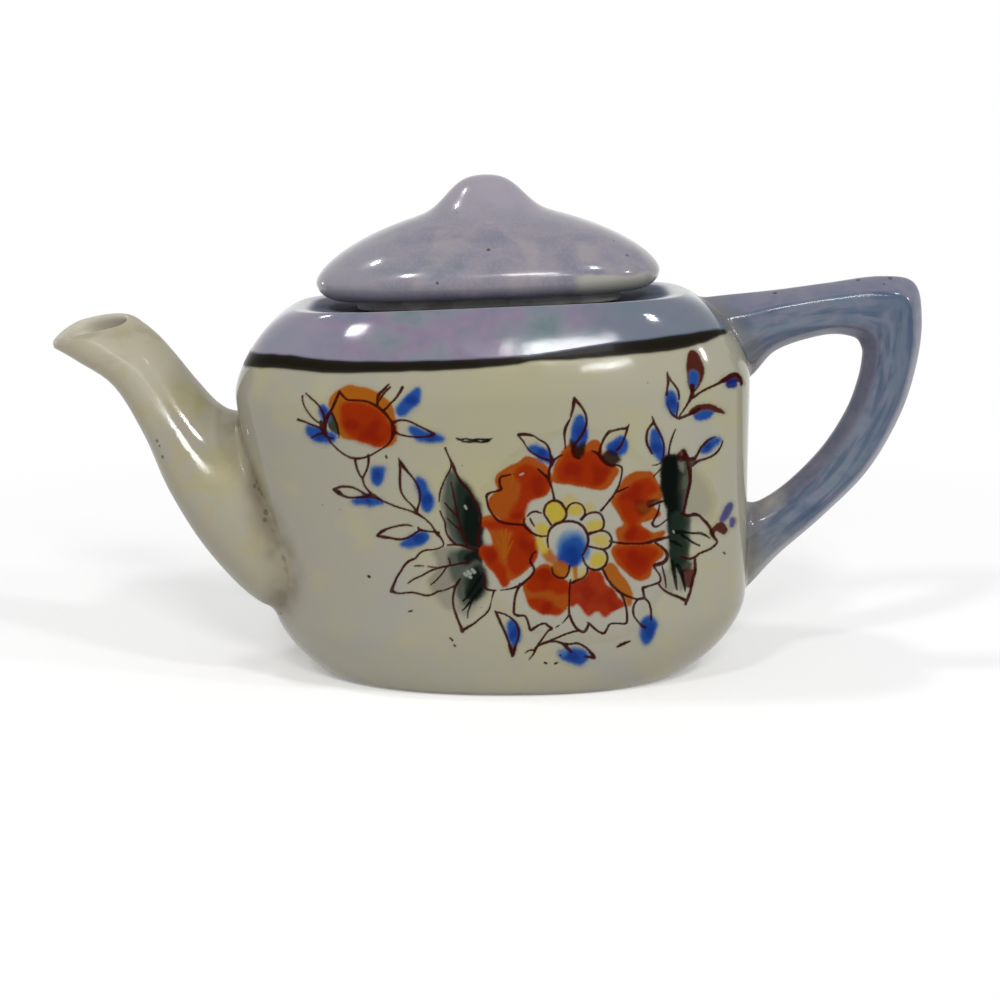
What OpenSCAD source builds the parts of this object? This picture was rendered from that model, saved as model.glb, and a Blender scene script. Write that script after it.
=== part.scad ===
// Child's porcelain teapot: a slip-cast pot with its spout and handle stuck on before firing,
// and a loose lid whose flange drops into the mouth. Millimetres, +Z up, spout along -X,
// handle along +X. The origin is the middle of the foot, on the surface that the pot stands on.
// The pot was fired leaning a little toward its spout, over a foot that is level, so every piece
// is modelled upright and then leaned about the origin.

/* [Pot] */
// Length of the pot across the belly, without spout and handle
body_l = 84.8; // [78:0.2:92]
// Width of the pot across the belly, front to back
body_w = 46; // [44:0.2:50]
// Height of the pot's rim above the middle of its foot
body_h = 63.2; // [60:0.2:66]
// Thickness of the cast wall
wall = 2.6; // [2:0.1:3]
// Height at which the wall starts to turn in to the shoulder
shoulder_z = 49.4; // [46:0.2:50]
// Length of the rim, along its crest
rim_l = 63; // [61:0.2:66]
// Width of the rim, along its crest
rim_w = 35.6; // [34:0.2:38]
// How far each end of the wall draws in from the shoulder to the foot
end_taper = 2.6; // [1:0.1:4]
// How far the front and the back of the wall draw in from the shoulder to the foot
side_taper = 1.4; // [0.5:0.1:2]
// Angle in degrees that the pot leans toward its spout
lean = 2.3; // [0:0.1:3]

/* [Foot] */
// How far the wall rounds in to the foot at each end
foot_in_l = 13.6; // [11:0.2:15]
// How far the wall rounds in to the foot at the front and the back
foot_in_w = 4.4; // [3.6:0.1:6]
// Height above the table at which the wall starts to round in to the foot
foot_rise = 12.4; // [10:0.2:14]
// How far the foot's middle lies from the belly's, toward the handle
foot_shift = 2; // [0:0.1:3]
// Thickness of the floor
floor_t = 2.6; // [2:0.1:3.2]
// Width of the ring that the pot stands on
foot_ring_w = 3.6; // [2.5:0.1:4.5]
// Depth of the hollow inside the foot ring
foot_hollow = 0.8; // [0.5:0.1:1.2]

/* [Mouth] */
// Length of the opening in the mouth
mouth_l = 41.2; // [40:0.2:44]
// Width of the opening in the mouth
mouth_w = 19.6; // [18:0.2:21]
// Width of the flat seat round the opening
seat_w = 2; // [1.6:0.1:2.4]
// Depth of the seat below the rim
seat_drop = 1; // [0.6:0.1:1.4]
// Thickness of the ledge that carries the lid
ledge_t = 2.4; // [2:0.1:3]

/* [Lid] */
// Length of the lid
lid_l = 56.3; // [54:0.2:60]
// Width of the lid, front to back
lid_w = 31; // [30:0.2:33]
// Height of the lid's dome above its widest line
dome_h = 11.8; // [10:0.2:13]
// Thickness of the lid's wall
lid_wall = 2.2; // [1.8:0.1:2.4]
// How far the lid's underside rounds in from its widest line
edge_in = 3.6; // [3:0.1:4]
// Height of the lid's widest line above its underside
edge_up = 3; // [2.6:0.1:3.6]
// Clearance between the lid and the seat under it
lid_gap = 0.25; // [0.2:0.05:0.4]

/* [Flange] */
// Clearance between the flange and the opening, at each side
flange_gap = 0.8; // [0.5:0.1:1.2]
// Thickness of the flange
flange_t = 2; // [1.6:0.1:2.4]
// Depth that the flange reaches below its collar
flange_h = 4.6; // [3.5:0.1:6]
// How far the collar stands out from the flange
collar_out = 1.8; // [1.4:0.1:2]
// Height of the collar that stands on the seat
collar_h = 1.5; // [1:0.1:2]

/* [Knob] */
// Length of the knob, halfway up
knob_l = 12.6; // [11:0.2:14]
// Width of the knob, halfway up
knob_w = 10; // [8.6:0.2:11]
// Height of the knob above the lid's dome
knob_h = 4.4; // [3.6:0.1:6]

/* [Spout] */
// How far the spout reaches out from the pot's end
spout_reach = 29.8; // [26:0.2:33]
// Height of the spout's root above the table, at its lowest point
spout_low_z = 13; // [12:0.2:15]
// Height from the spout's lowest point to its highest
spout_h = 49.5; // [46:0.5:52]
// Width of the spout's root, front to back
spout_root_w = 26; // [24:0.2:30]
// Width of the spout at its lip, front to back
spout_tip_w = 11; // [10:0.2:12]
// Thickness of the spout's wall
spout_wall = 1.9; // [1.6:0.1:2.2]
// How far the rounded lip stands out past the end of the spout's wall
lip_h = 1.4; // [0.9:0.1:1.8]
// How much lower the front of the lip lies than its back
lip_dip = 1.6; // [0:0.1:2]
// How much the middle of each side of the lip is raised
lip_arch = 0.7; // [0:0.1:1.2]
// Diameter of each strainer hole behind the spout
strainer_d = 2.6; // [2:0.1:3.2]

/* [Handle] */
// How far the handle reaches out from the pot's end
handle_reach = 29.1; // [26:0.1:32]
// Height of the handle's lower root above the table
handle_low_z = 12.6; // [11:0.2:14]
// Height from the handle's lowest point to its top corner
handle_h = 51.4; // [49:0.2:53]
// Thickness of the handle, front to back
handle_t = 8.2; // [7:0.1:10]

/* [Hidden] */

lustre = [0.52, 0.54, 0.68];
blue_lustre = [0.42, 0.50, 0.64];
cream = [0.83, 0.82, 0.72];
bisque = [0.78, 0.74, 0.66];

// Points round a ring of each piece, and rings along each stretch
body_ring_n = 64;
lid_ring_n = 56;
knob_ring_n = 36;
spout_ring_n = 32;
handle_ring_n = 24;
foot_steps = 8;
wall_steps = 5;
shoulder_steps = 9;
gallery_steps = 4;
dome_steps = 12;
edge_steps = 4;
knob_steps = 12;
spout_steps = 24;
lip_steps = 5;
handle_steps = 46;

// Squareness of each outline: 2 is an ellipse, and more is boxier
foot_square = 2;
belly_square = 3.2;
rim_square = 4.2;
mouth_square = 4;
lid_square = 2.8;
spout_square = 2.3;

// Roundness of each bend in the wall: 2 is a quarter ellipse, and less is flatter
foot_bend = 1.5;
shoulder_bend = 1.5;
dome_bend = 1.55;

// Steepness of the knob's flank, and its foot's length against its length halfway up
knob_steep = 3.4;
knob_foot_share = 1.6;

// Gap filled with slip and glaze where one piece is stuck on another
slip_gap = 0.05;
// Overrun of a cut past the face that it breaks through
cut_over = 1;

// Half lengths and half widths that several pieces share
belly_a = body_l / 2;
belly_b = body_w / 2;
rim_a = rim_l / 2;
rim_b = rim_w / 2;
mouth_a = mouth_l / 2;
mouth_b = mouth_w / 2;
lid_a = lid_l / 2;
lid_b = lid_w / 2;
flange_a = mouth_a - flange_gap;
flange_b = mouth_b - flange_gap;

// Depth that levelling took off the rounded foot at its middle
foot_flat = 0.3;
foot_ground = (belly_a - foot_in_l) * sin(lean) + foot_flat;
// How far out along its rounding the wall is where the foot meets the table
foot_out_share =
    pow(1 - pow(foot_rise / (foot_rise + foot_ground), foot_bend), 1 / foot_bend);
foot_a = belly_a - end_taper - foot_in_l * (1 - foot_out_share);
foot_b = belly_b - side_taper - foot_in_w * (1 - foot_out_share);

// Heights that several pieces share
seat_z = body_h - seat_drop;
collar_z = seat_z + lid_gap;
under_z = collar_z + collar_h;
edge_z = under_z + edge_up;

// Spout outline, from inside the pot to the lip: its lower edge and its upper edge, each as a
// share of the reach and a share of the height, and the width as a share from lip to root
spout_shares = [
    [-0.34, -0.03, -0.24, 0.655, 1.02],
    [-0.08, 0.012, 0.01, 0.66, 1.00],
    [0.19, 0.186, 0.12, 0.69, 0.78],
    [0.395, 0.397, 0.225, 0.765, 0.52],
    [0.528, 0.6, 0.32, 0.845, 0.27],
    [0.68, 0.768, 0.405, 0.913, 0.10],
    [0.875, 0.858, 0.47, 0.953, 0.03],
    [1.0, 0.908, 0.516, 0.974, 0.00]
];
// How much narrower the spout is along its upper edge than along its lower one
spout_egg_share = 0.34;
// Step back along the spout, in keys, over which the lip takes up the wall's direction
lip_back = 0.1;

// Handle outline, from the upper root to the lower one: its outer edge and its inner edge, each
// as a share of the reach and a share of the height
handle_shares = [
    [-0.34, 0.95, -0.34, 0.67],
    [-0.10, 0.96, -0.02, 0.68],
    [0.16, 0.969, 0.17, 0.774],
    [0.46, 0.985, 0.44, 0.817],
    [0.76, 1.00, 0.605, 0.808],
    [0.955, 0.975, 0.655, 0.775],
    [1.00, 0.86, 0.658, 0.735],
    [0.97, 0.71, 0.632, 0.665],
    [0.875, 0.545, 0.565, 0.568],
    [0.69, 0.368, 0.43, 0.452],
    [0.43, 0.222, 0.24, 0.345],
    [0.17, 0.098, 0.07, 0.282],
    [0.00, 0.00, -0.04, 0.275],
    [-0.16, -0.08, -0.16, 0.27]
];
// Share of the handle's width that its flat front takes, and how crisp the edges of that are
handle_flat_share = 0.52;
handle_crisp = 7;

// Strainer holes: how high they are above the spout's root as shares of its height, and how far
// to the side as shares of its root's width
strainer_shares = [[0.24, 0.11], [0.24, -0.11], [0.36, 0]];

// One ring of n points round a boxy oval
function oval(a, b, square, n) = [
    for (i = [0:n - 1])
        let (
            turn = 360 * i / n,
            grow = pow(pow(abs(cos(turn)), square) + pow(abs(sin(turn)), square), -1 / square)
        )
            [a * cos(turn) * grow, b * sin(turn) * grow]
];

// The same ring at height z, moved along X
function ring(a, b, square, n, z, shift = 0) =
    [for (p = oval(a, b, square, n)) [p.x + shift, p.y, z]];

function mix(low, high, share) = low + (high - low) * share;

// A smooth line through a list of keys, at position t counted in keys
function key(keys, i) = keys[max(0, min(len(keys) - 1, i))];
function along(keys, t) =
    let (
        i = min(len(keys) - 2, floor(t)),
        u = t - i,
        a = key(keys, i - 1),
        b = key(keys, i),
        c = key(keys, i + 1),
        d = key(keys, i + 2)
    )
        b + ((c - a) * u + (2 * a - 5 * b + 4 * c - d) * u * u + (3 * b - 3 * c + d - a) * u * u * u) / 2;

// Faces of a skin over rings of n points each. An open skin is capped at both ends, and a
// looped one runs from its last ring back to its first.
function skin_faces(n, levels, looped) = concat(
    [
        for (k = [0:levels - (looped ? 1 : 2)], i = [0:n - 1])
            let (
                j = (i + 1) % n,
                low = k * n,
                high = ((k + 1) % levels) * n
            )
                each [[low + i, high + i, high + j], [low + i, high + j, low + j]]
    ],
    looped ? [] : [
        [for (i = [0:n - 1]) i],
        [for (i = [n - 1:-1:0]) (levels - 1) * n + i]
    ]
);

module skin(rings, looped = false) {
    polyhedron(
        points = [for (r = rings) each r],
        faces = skin_faces(len(rings[0]), len(rings), looped),
        convexity = 6
    );
}

module leaned() {
    rotate([0, -lean, 0]) children();
}

// How far the pot's middle lies toward the handle at height z
function pot_shift(z) = foot_shift * max(0, 1 - z / shoulder_z);

// The pot's wall from foot to rim as rings. Inset is how far the rings lie inside the outer
// surface, and base is how far the lowest one is raised.
function pot_ring(a, b, square, z) = ring(a, b, square, body_ring_n, z, pot_shift(z));
function foot_rings(inset, base) = [
    for (i = [0:foot_steps])
        let (
            out = pow(sin(90 * i / foot_steps), 2 / foot_bend),
            down = pow(cos(90 * i / foot_steps), 2 / foot_bend)
        )
            pot_ring(
                belly_a - end_taper - foot_in_l + (foot_in_l - inset) * out,
                belly_b - side_taper - foot_in_w + (foot_in_w - inset) * out,
                mix(foot_square, belly_square, out / 2),
                foot_rise - (foot_rise + foot_ground - base) * down
            )
];
function wall_rings(inset) = [
    for (i = [1:wall_steps - 1])
        let (up = i / wall_steps)
            pot_ring(
                belly_a - end_taper * (1 - up) - inset,
                belly_b - side_taper * (1 - up) - inset,
                mix(mix(foot_square, belly_square, 1 / 2), belly_square, up),
                mix(foot_rise, shoulder_z, up)
            )
];
function shoulder_rings(inset) = [
    for (i = [0:shoulder_steps])
        let (
            out = pow(cos(90 * i / shoulder_steps), 2 / shoulder_bend),
            up = pow(sin(90 * i / shoulder_steps), 2 / shoulder_bend)
        )
            pot_ring(
                rim_a + (belly_a - rim_a - inset) * out,
                rim_b + (belly_b - rim_b - inset) * out,
                mix(rim_square, belly_square, out),
                shoulder_z + (body_h - shoulder_z - inset) * up
            )
];
function pot_rings(inset, base) =
    concat(foot_rings(inset, base), wall_rings(inset), shoulder_rings(inset));

// The dished gallery from the rim down to the seat, the seat, and the sides of the mouth
function gallery_rings() = [
    for (i = [1:gallery_steps])
        let (
            share = i / gallery_steps,
            fall = (1 - cos(180 * share)) / 2
        )
            pot_ring(
                mix(rim_a, mouth_a + seat_w, share),
                mix(rim_b, mouth_b + seat_w, share),
                mix(rim_square, mouth_square, share),
                mix(body_h, seat_z, fall)
            )
];
function mouth_rings() = [
    for (z = [seat_z, seat_z - ledge_t])
        pot_ring(mouth_a, mouth_b, mouth_square, z)
];
function reversed(list) = [for (i = [len(list) - 1:-1:0]) list[i]];

module pot_solid(inset = 0) {
    leaned() skin(pot_rings(inset, 0));
}

module strainer_holes() {
    for (s = strainer_shares)
        translate([-belly_a - cut_over, s.y * spout_root_w, spout_low_z + s.x * spout_h])
            rotate([0, 90, 0])
                cylinder(h = belly_a / 2, d = strainer_d, $fn = 32);
}

module pot_body() {
    color(cream)
        difference() {
            leaned()
                skin(concat(
                    pot_rings(0, 0),
                    gallery_rings(),
                    mouth_rings(),
                    reversed(pot_rings(wall, foot_ground + foot_hollow + floor_t))
                ));
            translate([-belly_a, -belly_b, -foot_rise])
                cube([body_l, body_w, foot_rise]);
            translate([0, 0, -cut_over])
                linear_extrude(cut_over + foot_hollow)
                    polygon(oval(
                        foot_a - foot_ring_w, foot_b - foot_ring_w, foot_square, body_ring_n
                    ));
            leaned() strainer_holes();
        }
}

// One ring of the spout, drawn in by inset all round
function spout_ring(t, inset) =
    let (
        s = along(spout_shares, t),
        low = [-belly_a - s[0] * spout_reach, 0, spout_low_z + s[1] * spout_h],
        high = [-belly_a - s[2] * spout_reach, 0, spout_low_z + s[3] * spout_h],
        half = (high - low) / 2,
        side = mix(spout_tip_w, spout_root_w, s[4]) / 2 - inset,
        near_lip = pow(t / (len(spout_shares) - 1), 4)
    )
        [
            for (p = oval(1, 1, spout_square, spout_ring_n))
                (low + high) / 2
                    + half * p.x * (1 - inset / norm(half))
                    + [0, -side * p.y * (1 - spout_egg_share * p.x), 0]
                    + [0, 0, near_lip * lip_arch * p.y * p.y * (1 - p.x / 2)]
                    - [0, 0, near_lip * lip_dip * p.y / 2]
        ];

// One ring of the rounded lip, at a share of the way over from the spout's outside to its inside
function lip_ring(share) =
    let (
        last = len(spout_shares) - 1,
        outer = spout_ring(last, 0),
        inner = spout_ring(last, spout_wall),
        outer_back = spout_ring(last - lip_back, 0),
        inner_back = spout_ring(last - lip_back, spout_wall),
        pull = lip_h * 4 / 3
    )
        [
            for (i = [0:spout_ring_n - 1])
                let (
                    out = outer[i] - outer_back[i],
                    out_again = inner[i] - inner_back[i]
                )
                    outer[i] * pow(1 - share, 3)
                        + (outer[i] + out / norm(out) * pull) * 3 * share * pow(1 - share, 2)
                        + (inner[i] + out_again / norm(out_again) * pull) * 3 * pow(share, 2) * (1 - share)
                        + inner[i] * pow(share, 3)
        ];

module spout() {
    last = len(spout_shares) - 1;
    outside = [for (i = [0:spout_steps]) spout_ring(last * i / spout_steps, 0)];
    inside = [for (i = [0:spout_steps]) spout_ring(last * i / spout_steps, spout_wall)];
    lip = [for (i = [1:lip_steps - 1]) lip_ring(i / lip_steps)];
    color(cream)
        difference() {
            leaned() skin(concat(inside, reversed(lip), reversed(outside)), looped = true);
            pot_solid(-slip_gap);
        }
}

// One ring of the handle: a bar with a flat front and back, and a bevel down to each edge
function handle_ring(t) =
    let (
        s = along(handle_shares, t),
        outer = [belly_a + s[0] * handle_reach, 0, handle_low_z + s[1] * handle_h],
        inner = [belly_a + s[2] * handle_reach, 0, handle_low_z + s[3] * handle_h],
        half = (outer - inner) / 2,
        ridge = pow(2, 1 / handle_crisp)
    )
        [
            for (i = [0:handle_ring_n - 1])
                let (
                    x = cos(360 * i / handle_ring_n),
                    y = sin(360 * i / handle_ring_n),
                    flat = pow(abs(y), handle_crisp),
                    bevel = pow(abs(x + y * (1 - handle_flat_share)), handle_crisp)
                        + pow(abs(x - y * (1 - handle_flat_share)), handle_crisp),
                    grow = pow(flat + bevel, -1 / handle_crisp)
                )
                    (outer + inner) / 2 + half * x * grow * ridge + [0, y * grow * handle_t / 2, 0]
        ];

module handle() {
    last = len(handle_shares) - 1;
    color(blue_lustre)
        difference() {
            leaned() skin([for (i = [handle_steps:-1:0]) handle_ring(last * i / handle_steps)]);
            pot_solid(-slip_gap);
        }
}

// The lid's outer surface from its underside over the edge to the top of the dome, and the same
// surface inside the wall
function lid_ring(a, b, z) = ring(a, b, lid_square, lid_ring_n, z);
function edge_rings(inset) = [
    for (i = [0:edge_steps])
        let (
            out = sin(90 * i / edge_steps),
            down = cos(90 * i / edge_steps)
        )
            lid_ring(
                lid_a - edge_in + (edge_in - inset) * out,
                lid_b - edge_in + (edge_in - inset) * out,
                edge_z - (edge_up - inset) * down
            )
];
function dome_rings(inset) = [
    for (i = [1:dome_steps - 1])
        let (
            out = pow(cos(90 * i / dome_steps), 2 / dome_bend),
            up = pow(sin(90 * i / dome_steps), 2 / dome_bend)
        )
            lid_ring((lid_a - inset) * out, (lid_b - inset) * out, edge_z + (dome_h - inset) * up)
];

module lid_cover() {
    hole_a = flange_a - flange_t;
    hole_b = flange_b - flange_t;
    color(lustre)
        leaned()
            skin(concat(
                reversed(concat(edge_rings(lid_wall), dome_rings(lid_wall))),
                [
                    lid_ring(hole_a, hole_b, under_z + lid_wall),
                    lid_ring(hole_a, hole_b, under_z)
                ],
                edge_rings(0),
                dome_rings(0)
            ));
}

// How far out on the lid a point lies, from 0 in its middle to 1 on its widest line, and the
// dome's height over that
function lid_share(p) =
    pow(pow(abs(p.x / lid_a), lid_square) + pow(abs(p.y / lid_b), lid_square), 1 / lid_square);
function dome_rise(share) =
    dome_h * pow(1 - pow(share, dome_bend), 1 / dome_bend);

module lid_knob() {
    // The knob's flank is a bell that stands on the dome
    flank = pow(ln(2), -1 / knob_steep);
    bell_a = knob_l / 2 * knob_foot_share;
    bell_b = knob_w / 2 * knob_foot_share;
    rings = [
        for (i = [0:knob_steps - 1])
            let (
                out = cos(90 * i / knob_steps),
                bell = exp(-pow(out * knob_foot_share / flank, knob_steep))
            )
                [
                    for (p = oval(bell_a * out, bell_b * out, 2, knob_ring_n))
                        [p.x, p.y, edge_z + dome_rise(lid_share(p)) + knob_h * bell]
                ]
    ];
    root = ring(bell_a, bell_b, 2, knob_ring_n, edge_z + dome_h / 2);
    color(lustre)
        leaned()
            difference() {
                skin(concat([root], rings));
                skin(concat(edge_rings(-slip_gap), dome_rings(-slip_gap)));
            }
}

module lid_flange() {
    color(bisque)
        leaned()
            difference() {
                union() {
                    translate([0, 0, collar_z - flange_h])
                        linear_extrude(flange_h + collar_h - slip_gap)
                            polygon(oval(flange_a, flange_b, mouth_square, lid_ring_n));
                    translate([0, 0, collar_z])
                        linear_extrude(collar_h - slip_gap)
                            polygon(oval(
                                flange_a + collar_out, flange_b + collar_out,
                                mouth_square, lid_ring_n
                            ));
                }
                translate([0, 0, collar_z - flange_h - cut_over])
                    linear_extrude(flange_h + collar_h + 2 * cut_over)
                        polygon(oval(
                            flange_a - flange_t, flange_b - flange_t,
                            mouth_square, lid_ring_n
                        ));
            }
}

pot_body();
spout();
handle();
lid_cover();
lid_knob();
lid_flange();
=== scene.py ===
# Looks of the toy teapot: a child's porcelain pot with pearl lustre glazes, a black line round its
# shoulder and a painted spray on its front. Sizes are in millimetres of the upright pot, and
# to_frame() leans them as the pot was fired and turns them into the frame's metres.
import math

import bmesh
import bpy
import numpy as np
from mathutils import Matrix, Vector
from mathutils.bvhtree import BVHTree


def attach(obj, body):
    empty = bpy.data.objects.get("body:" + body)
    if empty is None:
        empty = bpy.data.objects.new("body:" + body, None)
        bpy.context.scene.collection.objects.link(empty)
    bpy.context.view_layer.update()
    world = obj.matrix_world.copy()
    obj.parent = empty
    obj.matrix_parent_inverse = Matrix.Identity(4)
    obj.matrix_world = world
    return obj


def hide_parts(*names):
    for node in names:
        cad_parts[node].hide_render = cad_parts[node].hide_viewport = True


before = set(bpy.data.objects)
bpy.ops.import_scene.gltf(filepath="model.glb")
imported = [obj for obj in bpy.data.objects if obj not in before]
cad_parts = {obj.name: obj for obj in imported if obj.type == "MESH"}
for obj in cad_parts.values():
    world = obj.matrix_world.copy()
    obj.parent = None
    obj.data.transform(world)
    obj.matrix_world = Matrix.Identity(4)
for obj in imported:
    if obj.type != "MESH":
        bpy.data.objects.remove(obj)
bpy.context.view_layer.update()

MM = 0.001
FULL_TURN = 2 * math.pi

# Camera: where it stands and looks, in millimetres, and its lens for a picture of 1000 pixels
CAMERA_AT = (-0.7, -320.0, 95.3)
CAMERA_AIM = (-0.7, 0.0, 28.8)
LENS_MM = 69.66
SENSOR_MM = 36.0
PICTURE_PX = 1000

# Pot
BELLY_A = 42.4
BELLY_B = 23.0
BODY_H = 63.2
WALL = 2.6
SHOULDER_Z = 49.4
RIM_A = 31.5
RIM_B = 17.8
END_TAPER = 2.6
SIDE_TAPER = 1.4
LEAN = math.radians(2.3)
FOOT_IN_A = 13.6
FOOT_IN_B = 4.4
FOOT_RISE = 12.4
FOOT_SHIFT = 2.0
FOOT_GROUND = (BELLY_A - FOOT_IN_A) * math.sin(LEAN) + 0.3
FOOT_EDGE_R = 0.7
# Underside: share of the way out, millimetres in from the wall, and height of each ring
FOOT_RING = ((0.3, 3.9, 0.8), (0.6, 3.9, 0.8), (1, 3.9, 0.8), (1, 3.7, 0.4), (1, 3.4, 0), (1, 1.8, 0))
FLOOR_Z = 3.4
FOOT_SQUARE, BELLY_SQUARE, RIM_SQUARE, MOUTH_SQUARE = 2.0, 3.2, 4.2, 4.0
FOOT_BEND, SHOULDER_BEND, FRONT_BEND = 1.5, 1.5, 1.2
# Height of the stretch over which each change of slope in the wall is softened
SOFT_BEND = 5.0

# Mouth and gallery
MOUTH_A = 20.6
MOUTH_B = 9.8
SEAT_W = 2.0
SEAT_Z = BODY_H - 1.0
LEDGE_T = 2.4
# Rounding of the mouth's and the flange's edges
EDGE_R = 0.35

# Lid
LID_A = 28.15
LID_B = 15.5
LID_SQUARE = 2.8
DOME_H = 11.8
DOME_BEND = 1.55
LID_WALL = 2.2
EDGE_IN = 3.6
EDGE_UP = 3.0
COLLAR_Z = SEAT_Z + 0.25
COLLAR_H = 1.5
UNDER_Z = COLLAR_Z + COLLAR_H
EDGE_Z = UNDER_Z + EDGE_UP
FLANGE_A = MOUTH_A - 0.8
FLANGE_B = MOUTH_B - 0.8
FLANGE_T = 2.0
FLANGE_H = 4.6
# Gap between the flange's top and the cover
FLANGE_CLEAR = 0.02
COLLAR_OUT = 1.8
KNOB_A = 6.3
KNOB_B = 5.0
KNOB_H = 4.4
KNOB_STEEP = 3.4
KNOB_FOOT = 1.8
# How far the knob's skin stands off the dome, and how far its edge is sunk into it
KNOB_LIFT, KNOB_SUNK = 0.004, 0.12

# Spout
SPOUT_REACH = 29.8
SPOUT_LOW_Z = 13.0
SPOUT_H = 49.5
SPOUT_ROOT_W = 26.0
SPOUT_TIP_W = 11.0
SPOUT_WALL = 1.9
SPOUT_SQUARE = 2.3
SPOUT_EGG = 0.34
SPOUT_FILLET = 1.7
LIP_H = 1.4
LIP_DIP = 1.6
LIP_ARCH = 0.7
# How far the lip's outer side turns up at the tip
LIP_CURL = 1.6
# From the root to the tip: shares out and up of the lower edge and of the upper edge, and of the width
SPOUT_KEYS = np.array([
    [-0.34, -0.03, -0.24, 0.655, 1.02],
    [-0.08, 0.012, 0.01, 0.66, 1.00],
    [0.19, 0.186, 0.12, 0.69, 0.78],
    [0.395, 0.397, 0.225, 0.765, 0.52],
    [0.528, 0.6, 0.32, 0.845, 0.27],
    [0.68, 0.768, 0.405, 0.913, 0.10],
    [0.875, 0.858, 0.47, 0.953, 0.03],
    [1.0, 0.908, 0.516, 0.974, 0.00],
])

# Handle
HANDLE_REACH = 29.1
HANDLE_LOW_Z = 12.6
HANDLE_H = 51.4
HANDLE_T = 8.2
HANDLE_FLAT = 0.52
HANDLE_CRISP = 9.0
HANDLE_FILLET = 1.3
# From the upper root round to the lower: shares out and up of the loop's outer edge and of its inner edge
HANDLE_KEYS = np.array([
    [-0.34, 0.95, -0.34, 0.67],
    [-0.10, 0.96, -0.02, 0.68],
    [0.16, 0.969, 0.17, 0.774],
    [0.46, 0.985, 0.44, 0.817],
    [0.76, 1.00, 0.605, 0.808],
    [0.955, 0.975, 0.655, 0.775],
    [1.00, 0.86, 0.658, 0.735],
    [0.97, 0.71, 0.632, 0.665],
    [0.875, 0.545, 0.565, 0.568],
    [0.69, 0.368, 0.43, 0.452],
    [0.43, 0.222, 0.24, 0.345],
    [0.17, 0.098, 0.07, 0.282],
    [0.00, 0.00, -0.04, 0.275],
    [-0.16, -0.08, -0.16, 0.27],
])


# Painted spray, traced on the picture's frame of 1000 pixels: strokes as x, y and width along
# their middle, and washes of colour as corners of their edge

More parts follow.
